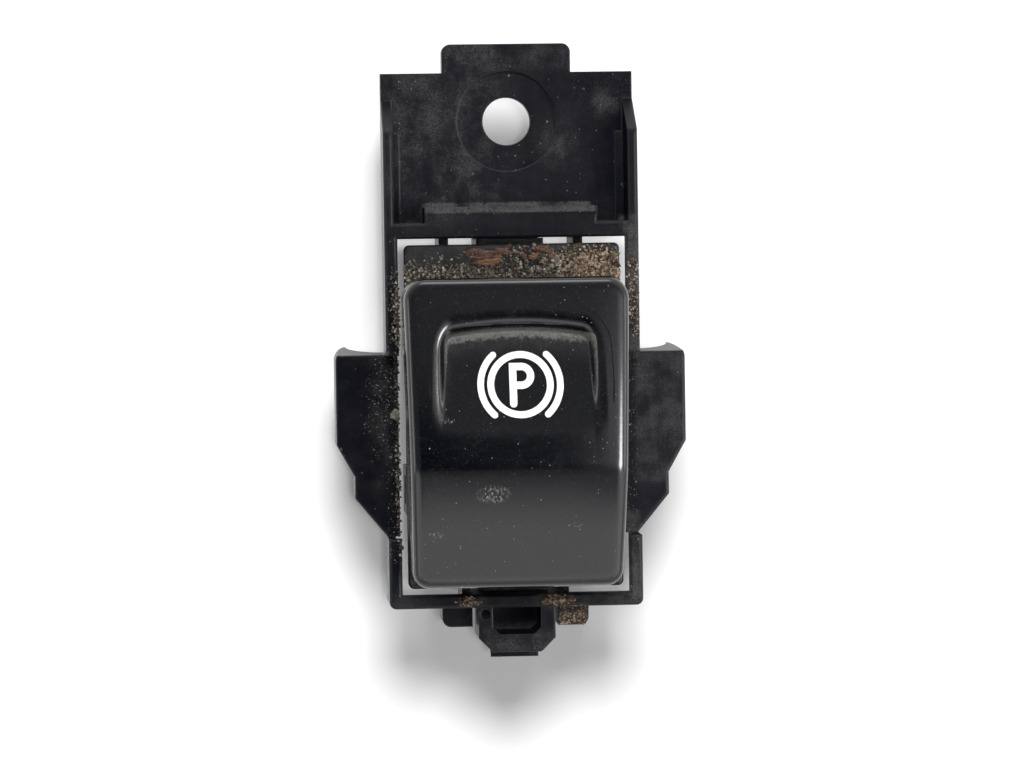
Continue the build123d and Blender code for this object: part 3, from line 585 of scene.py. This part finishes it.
def knobTop():
    # the top as a grid set in by the edge; also its border, once round, with what the shoulder needs:
    # place, outward direction, height and how steeply the top falls there
    look = knobForm
    count = int(2 * look["farHalf"] / look["cell"]) + 1
    rows = int((look["far"] - look["near"]) / look["cell"]) + 1

    def at(i, j):
        return planPoint(i / (count - 1) * 2 - 1, j / (rows - 1) * 2 - 1, look["edge"])

    points, faces = [], []
    for j in range(rows):
        for i in range(count):
            x, y, _ = at(i, j)
            points.append((x, y, knobHeight(x, y)))
    for j in range(rows - 1):
        for i in range(count - 1):
            first = j * count + i
            faces.append((first, first + 1, first + count + 1, first + count))
    rim = [(i, 0) for i in range(count - 1)] + [(count - 1, j) for j in range(rows - 1)]
    rim += [(i, rows - 1) for i in range(count - 1, 0, -1)] + [(0, j) for j in range(rows - 1, 0, -1)]
    starts, probe = [], 0.02
    for i, j in rim:
        x, y, out = at(i, j)
        z = knobHeight(x, y)
        fall = (z - knobHeight(x + out.x * probe, y + out.y * probe)) / probe
        starts.append((Vector((x, y)), out, z, max(0.0, fall)))
    return points, faces, [j * count + i for i, j in rim], starts


def addSides(points, faces, ring, starts):
    # from the top's own slope over a shoulder to the upright side, and down to the skirt
    look = knobForm
    steps, power = look["edgeSteps"], look["edgePower"]
    reach = look["edge"] - look["drawIn"]
    for step in range(1, steps + look["skirtSteps"] + 1):
        fresh = []
        for flat, out, z, fall in starts:
            if step <= steps:
                t = math.sin(math.pi / 2 * step / steps)
                across = reach * t
                down = reach * (fall * t + 1 - (1 - t ** power) ** (1 / power))
            else:
                part = (step - steps) / look["skirtSteps"]
                low = z - reach * (fall + 1)
                across = reach + look["drawIn"] * part
                down = z - (low + (look["skirt"] - low) * part)
            points.append((flat.x + out.x * across, flat.y + out.y * across, z - down))
            fresh.append(len(points) - 1)
        for n in range(len(ring)):
            after = (n + 1) % len(ring)
            faces.append((ring[n], fresh[n], fresh[after], ring[after]))
        ring = fresh


def addHollow(points, faces):
    # the hollow inside is the model's own: its faces that lie well within the skin or face another way
    skin = BVHTree.FromPolygons(points, faces)
    source = nodes["knob_cap"].data
    start = len(points)
    points += [vertex.co.copy() for vertex in source.vertices]
    for polygon in source.polygons:
        _, normal, _, away = skin.find_nearest(polygon.center)
        if away > knobForm["hollowGap"] * mm or normal.dot(polygon.normal) < knobForm["hollowTurn"]:
            faces.append(tuple(start + index for index in polygon.vertices))


def makeKnob(material):
    points, faces, ring, starts = knobTop()
    addSides(points, faces, ring, starts)
    points = [Vector((x + knobForm["shift"], y, z)) * mm for x, y, z in points]
    fine = len(faces)
    addHollow(points, faces)
    mesh = bpy.data.meshes.new("knobSkin")
    mesh.from_pydata(points, [], faces)
    for n, polygon in enumerate(mesh.polygons):
        polygon.use_smooth = n < fine
    mesh.update()
    loose = bmesh.new()
    loose.from_mesh(mesh)
    unused = [vertex for vertex in loose.verts if not vertex.link_faces]
    bmesh.ops.delete(loose, geom=unused, context="VERTS")
    loose.to_mesh(mesh)
    loose.free()
    piece = newPiece("knobSkin", mesh, material, "knob")
    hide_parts("knob_cap")
    print("knob skin:", fine, "fine faces of", len(mesh.polygons))


# finishes of the pieces inside: the two tones they drift between, roughness and how clear they are
innerMouldings = {
    "carrierPlastic": {"tones": ((0.62, 0.61, 0.56), (0.55, 0.53, 0.47)), "rough": 0.42, "clear": 0.0},
    "sliderPlastic": {"tones": ((0.42, 0.42, 0.40), (0.36, 0.36, 0.33)), "rough": 0.4, "clear": 0.0},
    "milkyPlastic": {"tones": ((0.80, 0.80, 0.77), (0.76, 0.76, 0.70)), "rough": 0.35, "clear": 0.2},
    "clearPlastic": {"tones": ((0.93, 0.95, 0.95), (0.90, 0.93, 0.93)), "rough": 0.08, "clear": 0.9},
    "lampResin": {"tones": ((0.86, 0.84, 0.70), (0.80, 0.76, 0.58)), "rough": 0.2, "clear": 0.3},
    "chipEpoxy": {"tones": ((0.018, 0.018, 0.019), (0.026, 0.026, 0.027)), "rough": 0.48, "clear": 0.0},
}
# metals: colour, stain, roughness, and a stretch that is small along the lines of drawing or grinding
metals = {
    "tinnedBrass": {"colour": (0.66, 0.64, 0.58), "stain": (0.45, 0.43, 0.38), "rough": 0.22,
                    "stretch": (1, 1, 0.1)},
    "brushBrass": {"colour": (0.72, 0.52, 0.24), "stain": (0.45, 0.31, 0.14), "rough": 0.25,
                   "stretch": (1, 0.1, 1)},
    "groundSteel": {"colour": (0.56, 0.56, 0.57), "stain": (0.38, 0.37, 0.36), "rough": 0.22,
                    "stretch": (0.1, 1, 1)},
    "springWire": {"colour": (0.42, 0.42, 0.43), "stain": (0.26, 0.25, 0.24), "rough": 0.28,
                   "stretch": (1, 1, 1)},
}
lacquer = {"light": (0.016, 0.12, 0.042), "dark": (0.010, 0.085, 0.030), "seam": (0.02, 0.16, 0.055)}
finishOf = {
    "mounting_bracket": "bracketPlastic", "switch_case": "casePlastic", "base_cover": "coverPlastic",
    "circuit_board": "boardLacquer", "led_search": "lampResin", "led_active": "lampResin",
    "control_chip": "chipEpoxy", "light_guide": "clearPlastic", "knob_cap": "knobPlastic",
    "knob_carrier": "carrierPlastic", "symbol_diffuser": "milkyPlastic", "pivot_pin": "groundSteel",
    "return_spring_far": "springWire", "return_spring_near": "springWire",
    "contact_slider": "sliderPlastic", "contact_brush_left": "brushBrass",
    "contact_brush_right": "brushBrass",
}
finishOf.update({f"terminal_pin_{n}": "tinnedBrass" for n in range(1, 9)})
finishOf.update({f"resistor_{n}": "chipEpoxy" for n in range(1, 5)})


def plainMoulding(name):
    # a soft drift of tone and a faint grain
    look = innerMouldings[name]
    shader = newShader(name)
    spot = shader.place()
    rounded = shader.roundEdges(0.12 * mm)
    drift = shader.noise(spot, 3.2 * mm, 4.0, 0.6)
    grain = shader.noise(spot, 0.15 * mm, 2.0)
    tone = shader.mix(drift.rise(0.35, 0.7), *look["tones"])
    return shader.finish({"Base Color": tone, "Roughness": look["rough"] + 0.12 * drift,
                          "Transmission Weight": look["clear"],
                          "Normal": shader.bump(grain, 0.004 * mm, rounded)})


def metal(name):
    look = metals[name]
    shader = newShader(name)
    spot = shader.place()
    rounded = shader.roundEdges(0.06 * mm)
    lines = shader.noise(shader.moved(spot, stretch=look["stretch"]), 0.12 * mm, 3.0, 0.6)
    stain = shader.noise(spot, 1.4 * mm, 4.0, 0.6).rise(0.5, 0.8)
    return shader.finish({"Base Color": shader.mix(stain * 0.6, look["colour"], look["stain"]),
                          "Metallic": 1.0, "Roughness": look["rough"] + 0.15 * lines + 0.15 * stain,
                          "Normal": shader.bump(lines, 0.003 * mm, rounded)})


def boardLacquer():
    # green lacquer, with the weave of the board showing through
    shader = newShader("boardLacquer")
    spot = shader.place()
    weave = shader.node("ShaderNodeTexBrick", sockets={
        "Vector": spot, "Scale": 1 / (2.4 * mm), "Mortar Size": 0.03, "Color1": (*lacquer["dark"], 1.0),
        "Color2": (*lacquer["light"], 1.0), "Mortar": (*lacquer["seam"], 1.0)})
    fibre = shader.noise(spot, 0.25 * mm, 3.0)
    return shader.finish({"Base Color": weave, "Roughness": 0.3 + 0.15 * fibre, "Coat Weight": 0.3,
                          "Normal": shader.bump(fibre, 0.004 * mm, shader.roundEdges(0.08 * mm))})


def dressNodes():
    made = {name: mouldedPlastic(name) for name in mouldings}
    made.update({name: plainMoulding(name) for name in innerMouldings})
    made.update({name: metal(name) for name in metals})
    made.update({"boardLacquer": boardLacquer(), "knobPlastic": knobPlastic()})
    for name, piece in nodes.items():
        for slot in piece.material_slots:
            slot.material = made[finishOf[name]]
    print("nodes dressed:", len(nodes))
    return made


# the sign: a P in a ring between two brackets, printed on the scoop's floor
sign = {
    "centre": (-0.08, -27.07), "ringOuter": 3.36, "stroke": 0.69, "bracketOuter": 4.37,
    "bracketStroke": 0.67, "bracketHalf": 48.0, "stemLeft": -1.12, "letterTop": 2.18, "letterFoot": -2.28,
    "letterStroke": 0.74, "bowlRight": 1.42, "bowlLow": -0.44, "proud": 0.02, "sunk": 0.03,
    # straight steps in each curve
    "ringSteps": 96, "bracketSteps": 40, "capSteps": 8, "heelSteps": 10, "bowlSteps": 24,
    "insideSteps": 20,
    "white": (0.84, 0.85, 0.86), "worn": (0.62, 0.62, 0.61),
}


def arcPoints(cx, cy, radius, start, end, steps):
    turn = [math.radians(start + (end - start) * n / steps) for n in range(steps + 1)]
    return [(cx + radius * math.cos(a), cy + radius * math.sin(a)) for a in turn]


def signOutlines():
    look = sign
    ring, cap = look["ringSteps"], look["bracketStroke"] / 2
    outlines = [arcPoints(0, 0, radius, 0, 360, ring)[:-1]
                for radius in (look["ringOuter"], look["ringOuter"] - look["stroke"])]
    outer, inner = look["bracketOuter"], look["bracketOuter"] - look["bracketStroke"]
    half, middle, steps = look["bracketHalf"], (outer + inner) / 2, look["bracketSteps"]
    for turn in (0, 180):
        # the round caps stand at the two ends of each bracket's middle line
        first, last = turn + half, turn - half
        angles = [math.radians(end) for end in (first, last)]
        ends = [(middle * math.cos(angle), middle * math.sin(angle)) for angle in angles]
        outline = arcPoints(0, 0, outer, last, first, steps)
        outline += arcPoints(*ends[0], cap, first, first + 180, look["capSteps"])[1:-1]
        outline += arcPoints(0, 0, inner, first, last, steps)
        outline += arcPoints(*ends[1], cap, last + 180, last + 360, look["capSteps"])[1:-1]
        outlines.append(outline)
    left, top, foot, thick = look["stemLeft"], look["letterTop"], look["letterFoot"], look["letterStroke"]
    bowl = (top - look["bowlLow"]) / 2
    bowlX, bowlY = look["bowlRight"] - bowl, top - bowl
    heel = arcPoints(left + thick / 2, foot + thick / 2, thick / 2, 180, 360, look["heelSteps"])
    letter = [(left, top), (left, foot + thick / 2)] + heel[1:] + [(left + thick, look["bowlLow"])]
    outlines.append(letter + arcPoints(bowlX, bowlY, bowl, -90, 90, look["bowlSteps"]))
    inside = bowl - thick
    counter = arcPoints(bowlX, bowlY, inside, -90, 90, look["insideSteps"])
    outlines.append([(left + thick, bowlY - inside)] + counter + [(left + thick, bowlY + inside)])
    return outlines


def makeSign():
    curve = bpy.data.curves.new("parkingSign", "CURVE")
    curve.dimensions, curve.fill_mode = "2D", "BOTH"
    # any height does, since both faces are laid on the knob below
    curve.extrude = 0.5 * mm
    for outline in signOutlines():
        line = curve.splines.new("POLY")
        line.points.add(len(outline) - 1)
        for point, (x, y) in zip(line.points, outline):
            point.co = (x * mm, y * mm, 0, 1)
        line.use_cyclic_u = True
    holder = bpy.data.objects.new("parkingSign", curve)
    scene.collection.objects.link(holder)
    mesh = bpy.data.meshes.new_from_object(holder.evaluated_get(bpy.context.evaluated_depsgraph_get()))
    bpy.data.objects.remove(holder)
    cx, cy = sign["centre"]
    for vertex in mesh.vertices:
        x, y = vertex.co.x / mm + cx, vertex.co.y / mm + cy
        lift = sign["proud"] if vertex.co.z > 0 else -sign["sunk"]
        vertex.co = Vector((x, y, knobHeight(x, y) + lift)) * mm
    shader = newShader("signPaint")
    spot = shader.place()
    worn = shader.noise(spot, 0.35 * mm, 4.0, 0.7)
    tone = shader.mix(worn.rise(0.55, 0.8) * 0.3, sign["white"], sign["worn"])
    paint = shader.finish({"Base Color": tone, "Roughness": 0.42 + 0.2 * worn,
                           "Normal": shader.bump(worn, 0.004 * mm)})
    newPiece("parkingSign", mesh, paint, "knob")
    print("sign made:", len(mesh.polygons), "faces")


# grit: rough grains, one mesh for each piece. A grain is uneven along its axes and dented at random, a
# few are bigger, and the big ones are rounder; settle is how far a grain's centre stands off the face
grains = {
    "squash": (0.65, 1.25), "dent": 0.24, "bigShare": 0.06, "bigGain": 1.5, "roundFrom": 0.17,
    "settle": 0.55, "pilePower": 1.6, "roundLevel": 2, "plainLevel": 1,
}


def grainTemplate(level):
    shape = bmesh.new()
    bmesh.ops.create_icosphere(shape, subdivisions=level, radius=1.0)
    points = [vertex.co.copy() for vertex in shape.verts]
    faces = [[vertex.index for vertex in face.verts] for face in shape.faces]
    shape.free()
    return points, faces


def addGrain(points, faces, lot, template, place, radius):
    start = len(points)
    turn = Euler([lot.uniform(0, math.tau) for _ in range(3)]).to_matrix()
    squash = Vector([radius * lot.uniform(*grains["squash"]) for _ in range(3)])
    for point in template[0]:
        dent = 1 + lot.uniform(-grains["dent"], grains["dent"])
        points.append(place + turn @ Vector([point[n] * squash[n] * dent for n in range(3)]))
    faces += [[start + index for index in face] for face in template[1]]


def heapMesh(name, heaps, skin):
    # each heap: count, centre, reach, grain radii, how high it is piled, the lowest face it lies on, the
    # highest it may reach, and how far it is pushed over
    lot = random.Random(name)
    coarse, fine = grainTemplate(grains["roundLevel"]), grainTemplate(grains["plainLevel"])
    points, faces = [], []
    for heap in heaps:
        cx, cy = heap["centre"]
        rx, ry = heap["reach"]
        weight, limit = heap.get("weight", evenWeight), heap.get("limit", math.inf)
        made = 0
        while made < heap["count"]:
            x, y = lot.uniform(-1, 1), lot.uniform(-1, 1)
            if lot.random() > weight(x, y):
                continue
            made += 1
            size = lot.uniform(*heap["grain"])
            gain = grains["bigGain"] if lot.random() < grains["bigShare"] else 1.0
            radius = size * gain * mm
            px, py = (cx + x * rx) * mm, (cy + y * ry) * mm
            spot = below(skin, px, py)
            if spot is None or spot.z < heap["floor"] * mm:
                continue
            top = min(heap["pile"] * lot.random() ** grains["pilePower"] * mm, limit * mm - spot.z)
            px += heap.get("over", 0.0) * mm
            place = Vector((px, py, spot.z + radius * grains["settle"] + max(top - radius, 0)))
            template = coarse if radius > grains["roundFrom"] * mm else fine
            addGrain(points, faces, lot, template, place, radius)
    mesh = bpy.data.meshes.new(name)
    mesh.from_pydata(points, [], faces)
    return mesh


def evenWeight(x, y):
    # the share of grains kept at a place of the heap, with x and y from -1 to 1
    return 1.0


def ovalWeight(x, y):
    return max(0.0, 1 - (x * x + y * y)) ** 0.7


def ledgeWeight(x, y):
    # thicker to the right and in a heap by the middle, and towards the knob
    heap = 0.35 * math.exp(-((x + 0.05) / 0.28) ** 2)
    across = min(1.0, max(0.0, 0.22 + 0.62 * (x + 1) / 2 + heap))
    along = min(1.0, max(0.0, 0.5 - 0.75 * y)) if x < 0 else min(1.0, max(0.25, 0.75 - 0.5 * y))
    return across * along


greyStones = [(0.0, (0.012, 0.011, 0.010)), (0.3, (0.040, 0.036, 0.029)), (0.55, (0.115, 0.105, 0.080)),
              (0.78, (0.21, 0.19, 0.15)), (0.94, (0.33, 0.30, 0.25)), (1.0, (0.50, 0.47, 0.42))]
rustyStones = [(0.0, (0.016, 0.011, 0.009)), (0.25, (0.075, 0.048, 0.030)), (0.5, (0.20, 0.145, 0.095)),
               (0.75, (0.34, 0.25, 0.18)), (0.93, (0.45, 0.35, 0.26)), (1.0, (0.58, 0.50, 0.42))]
# tones of the grains, left and right, with the stretch over which the first gives way to the second
gritTones = {
    "mixedGrit": {"left": greyStones, "right": rustyStones, "change": (3.0, 8.0)},
    "settledGrit": {"left": [(0.0, (0.010, 0.009, 0.008)), (0.5, (0.045, 0.040, 0.033)),
                             (0.8, (0.12, 0.108, 0.088)), (1.0, (0.30, 0.28, 0.24))]},
    "rustyGrit": {"left": rustyStones},
    "mossCrumb": {"left": [(0.0, (0.16, 0.165, 0.12)), (0.5, (0.22, 0.235, 0.18)),
                           (1.0, (0.30, 0.31, 0.25))]},
}
# damp clumps are darkest in a patch on the ledge: left, right, near, far and fading
damp = {"tone": (0.014, 0.010, 0.008), "place": (-5.0, 4.0, -16.5, -12.5), "soft": 3.0, "elsewhere": 0.25}
mottleTone = (0.035, 0.028, 0.022)


def gritMaterial(name):
    look = gritTones[name]
    shader = newShader(name)
    spot = shader.place()
    x, y, _ = shader.axes(spot)
    chance = shader.node("ShaderNodeNewGeometry", output="Random Per Island")
    tone = shader.ramp(chance, look["left"])
    if "right" in look:
        change = x.rise(*[edge * mm for edge in look["change"]])
        tone = shader.mix(change, tone, shader.ramp(chance, look["right"]))
    mottle = shader.noise(spot, 0.12 * mm, 4.0, 0.7)
    clumps = shader.noise(spot, 0.9 * mm, 4.0, 0.65).rise(0.4, 0.58)
    least = damp["elsewhere"]
    wet = clumps * (least + (1 - least) * shader.patch(x, y, damp["place"], damp["soft"]))
    tone = shader.mix(mottle.rise(0.35, 0.7) * 0.55, tone, mottleTone)
    tone = shader.mix(wet * 0.85, tone, damp["tone"])
    return shader.finish({"Base Color": tone, "Roughness": 0.86, "Normal": shader.bump(mottle, 0.05 * mm)})


ledgeGrit = {
    "finish": "mixedGrit",
    "heaps": [
        {"count": 2100, "centre": (0.0, -14.75), "reach": (11.1, 1.75), "grain": (0.05, 0.15), "pile": 0.3,
         "floor": 6.0, "limit": 8.2, "weight": ledgeWeight},
        {"count": 1100, "centre": (6.9, -15.2), "reach": (4.3, 1.3), "grain": (0.06, 0.19), "pile": 0.55,
         "floor": 6.0, "limit": 8.3},
        {"count": 520, "centre": (-6.0, -15.8), "reach": (5.2, 0.85), "grain": (0.06, 0.17), "pile": 0.4,
         "floor": 6.0, "limit": 8.2},
    ],
}
sideGrit = {
    "finish": "mixedGrit",
    "heaps": [
        {"count": 260, "centre": (-11.7, -19.0), "reach": (0.9, 3.9), "grain": (0.06, 0.16), "pile": 0.15,
         "floor": 6.0, "limit": 8.4},
        {"count": 300, "centre": (12.0, -18.8), "reach": (1.1, 4.2), "grain": (0.06, 0.15), "pile": 0.1,
         "floor": 6.0, "limit": 8.6},
    ],
}
railGrit = {
    "finish": "settledGrit",
    "heaps": [
        {"count": 520, "centre": (-12.05, -31.0), "reach": (0.3, 14.0), "grain": (0.05, 0.16), "pile": 0.15,
         "floor": 1.5, "over": 0.12},
        {"count": 420, "centre": (-12.5, -31.0), "reach": (0.7, 15.0), "grain": (0.03, 0.09), "pile": 0.05,
         "floor": 1.5},
        {"count": 320, "centre": (12.5, -29.0), "reach": (0.7, 15.0), "grain": (0.03, 0.09), "pile": 0.05,
         "floor": 1.5},
        {"count": 260, "centre": (-13.9, -29.5), "reach": (1.9, 6.5), "grain": (0.03, 0.09), "pile": 0.05,
         "floor": 1.0, "limit": 5.0, "weight": ovalWeight},
    ],
}
nearGrit = {
    "finish": "rustyGrit",
    "heaps": [
        {"count": 90, "centre": (-5.0, -49.9), "reach": (1.4, 0.5), "grain": (0.06, 0.16), "pile": 0.15,
         "floor": -4.0, "limit": 8.2, "weight": ovalWeight},
        {"count": 170, "centre": (4.3, -49.9), "reach": (1.9, 0.6), "grain": (0.06, 0.18), "pile": 0.2,
         "floor": -4.0, "limit": 8.2, "weight": ovalWeight},
        {"count": 420, "centre": (6.1, -51.6), "reach": (1.5, 1.1), "grain": (0.04, 0.12), "pile": 0.12,
         "floor": -4.0},
    ],
}
mossCrumb = {
    "finish": "mossCrumb",
    "heaps": [
        {"count": 26, "centre": (-12.1, -30.4), "reach": (0.6, 0.4), "grain": (0.12, 0.26), "pile": 0.5,
         "floor": 1.0, "limit": 5.5, "weight": ovalWeight},
    ],
}


def makeGrit(skin):
    made = {name: gritMaterial(name) for name in gritTones}
    for name, look in (("ledgeGrit", ledgeGrit), ("sideGrit", sideGrit), ("railGrit", railGrit),
                       ("nearGrit", nearGrit), ("mossCrumb", mossCrumb)):
        mesh = heapMesh(name, look["heaps"], skin)
        newPiece(name, mesh, made[look["finish"]], "housing")
        print(name, len(mesh.polygons), "faces")


# chips of bark on the ledge in front of the knob
barkChips = [
    # x, y, length, width, thickness, turn in degrees
    (-3.1, -13.95, 3.3, 1.1, 0.75, -3), (-2.5, -14.45, 2.9, 1.0, 0.6, 4), (-1.0, -13.6, 1.6, 0.6, 0.5, -14),
    (-0.4, -13.15, 0.9, 0.35, 0.3, 40), (3.3, -13.5, 1.7, 0.8, 0.6, -18), (2.4, -14.2, 1.2, 0.5, 0.45, 20),
    (1.2, -14.0, 0.9, 0.4, 0.35, -35), (-3.4, -14.6, 1.0, 0.45, 0.4, -20), (4.1, -14.1, 0.9, 0.5, 0.4, 10),
]
# steps round and along a chip, how uneven it is, and how it lies: its middle stands a share of its
# thickness over the ledge, which is taken at a plain height where the chip's middle misses it
barkGrain = {
    "round": 22, "along": 26, "ridge": 0.2, "rough": 0.13, "ends": (0.8, 1.12), "endPower": 5,
    "waist": 0.12, "square": 0.7, "tilt": 0.12, "stand": 0.45, "ledgeLowest": 6.0, "ledgePlain": 7.0,
}


def chipMesh(skin):
    # each chip: a worn slab, ridged along its fibres and broken at the ends
    look = barkGrain
    lot = random.Random("bark")
    around, along = look["round"], look["along"]
    points, faces = [], []
    for x, y, length, width, thick, turn in barkChips:
        start = len(points)
        spot = below(skin, x * mm, y * mm)
        ground = spot.z if spot and spot.z > look["ledgeLowest"] * mm else look["ledgePlain"] * mm
        place = Vector((x * mm, y * mm, ground + thick * look["stand"] * mm))
        tilt = Matrix.Rotation(lot.uniform(-look["tilt"], look["tilt"]), 3, "Y")
        aim = Matrix.Rotation(math.radians(turn), 3, "Z") @ tilt
        ridge = [1 + lot.uniform(-1, 1) * look["ridge"] for _ in range(around)]
        ends = [lot.uniform(*look["ends"]) for _ in range(around)]
        # the second draw isn't used: it only keeps the later ones as they are
        waist, _ = [lot.uniform(0, math.tau) for _ in range(2)]
        for i in range(along):
            t = i / (along - 1) * 2 - 1
            girth = (1 - abs(t) ** look["endPower"]) ** 0.5 * (1 + look["waist"] * math.sin(3 * t + waist))
            for j in range(around):
                a = math.tau * j / around
                wide, high = math.copysign(abs(math.cos(a)) ** look["square"], math.cos(a)), math.sin(a)
                swell = girth * ridge[j] * (1 + lot.uniform(-1, 1) * look["rough"])
                across, up = wide * width / 2 * swell, high * thick / 2 * swell
                points.append(aim @ (Vector((t * length / 2 * ends[j], across, up)) * mm) + place)
        for i in range(along - 1):
            for j in range(around):
                k = (j + 1) % around
                faces.append([start + i * around + j, start + (i + 1) * around + j,
                              start + (i + 1) * around + k, start + i * around + k])
        faces.append([start + j for j in range(around)])
        faces.append([start + (along - 1) * around + j for j in reversed(range(around))])
    mesh = bpy.data.meshes.new("barkChips")
    mesh.from_pydata(points, [], faces)
    return mesh


barkTones = {
    "fibres": [(0.36, (0.008, 0.005, 0.004)), (0.5, (0.050, 0.028, 0.021)), (0.62, (0.13, 0.080, 0.062)),
               (0.76, (0.30, 0.20, 0.15))],
    "orange": (0.27, 0.14, 0.075),
}


def makeBark(skin):
    shader = newShader("bark")
    spot = shader.place()
    chance = shader.node("ShaderNodeNewGeometry", output="Random Per Island")
    fibre = shader.noise(shader.moved(spot, stretch=(0.3, 1.5, 1.5)), 0.22 * mm, 4.0, 0.75)
    tone = shader.ramp(fibre, barkTones["fibres"])
    tone = shader.mix(chance.rise(0.6, 0.9) * 0.3, tone, barkTones["orange"])
    finish = shader.finish({"Base Color": tone, "Roughness": 0.85, "Normal": shader.bump(fibre, 0.12 * mm)})
    newPiece("barkChips", chipMesh(skin), finish, "housing")
    print("bark chips:", len(barkChips))


makeCamera()
makeFloor()
makeLamps()
makeRoom()
finishes = dressNodes()
makeKnob(finishes["knobPlastic"])
makeSign()
housingSkin = skinOf("mounting_bracket", "switch_case")
makeGrit(housingSkin)
makeBark(housingSkin)
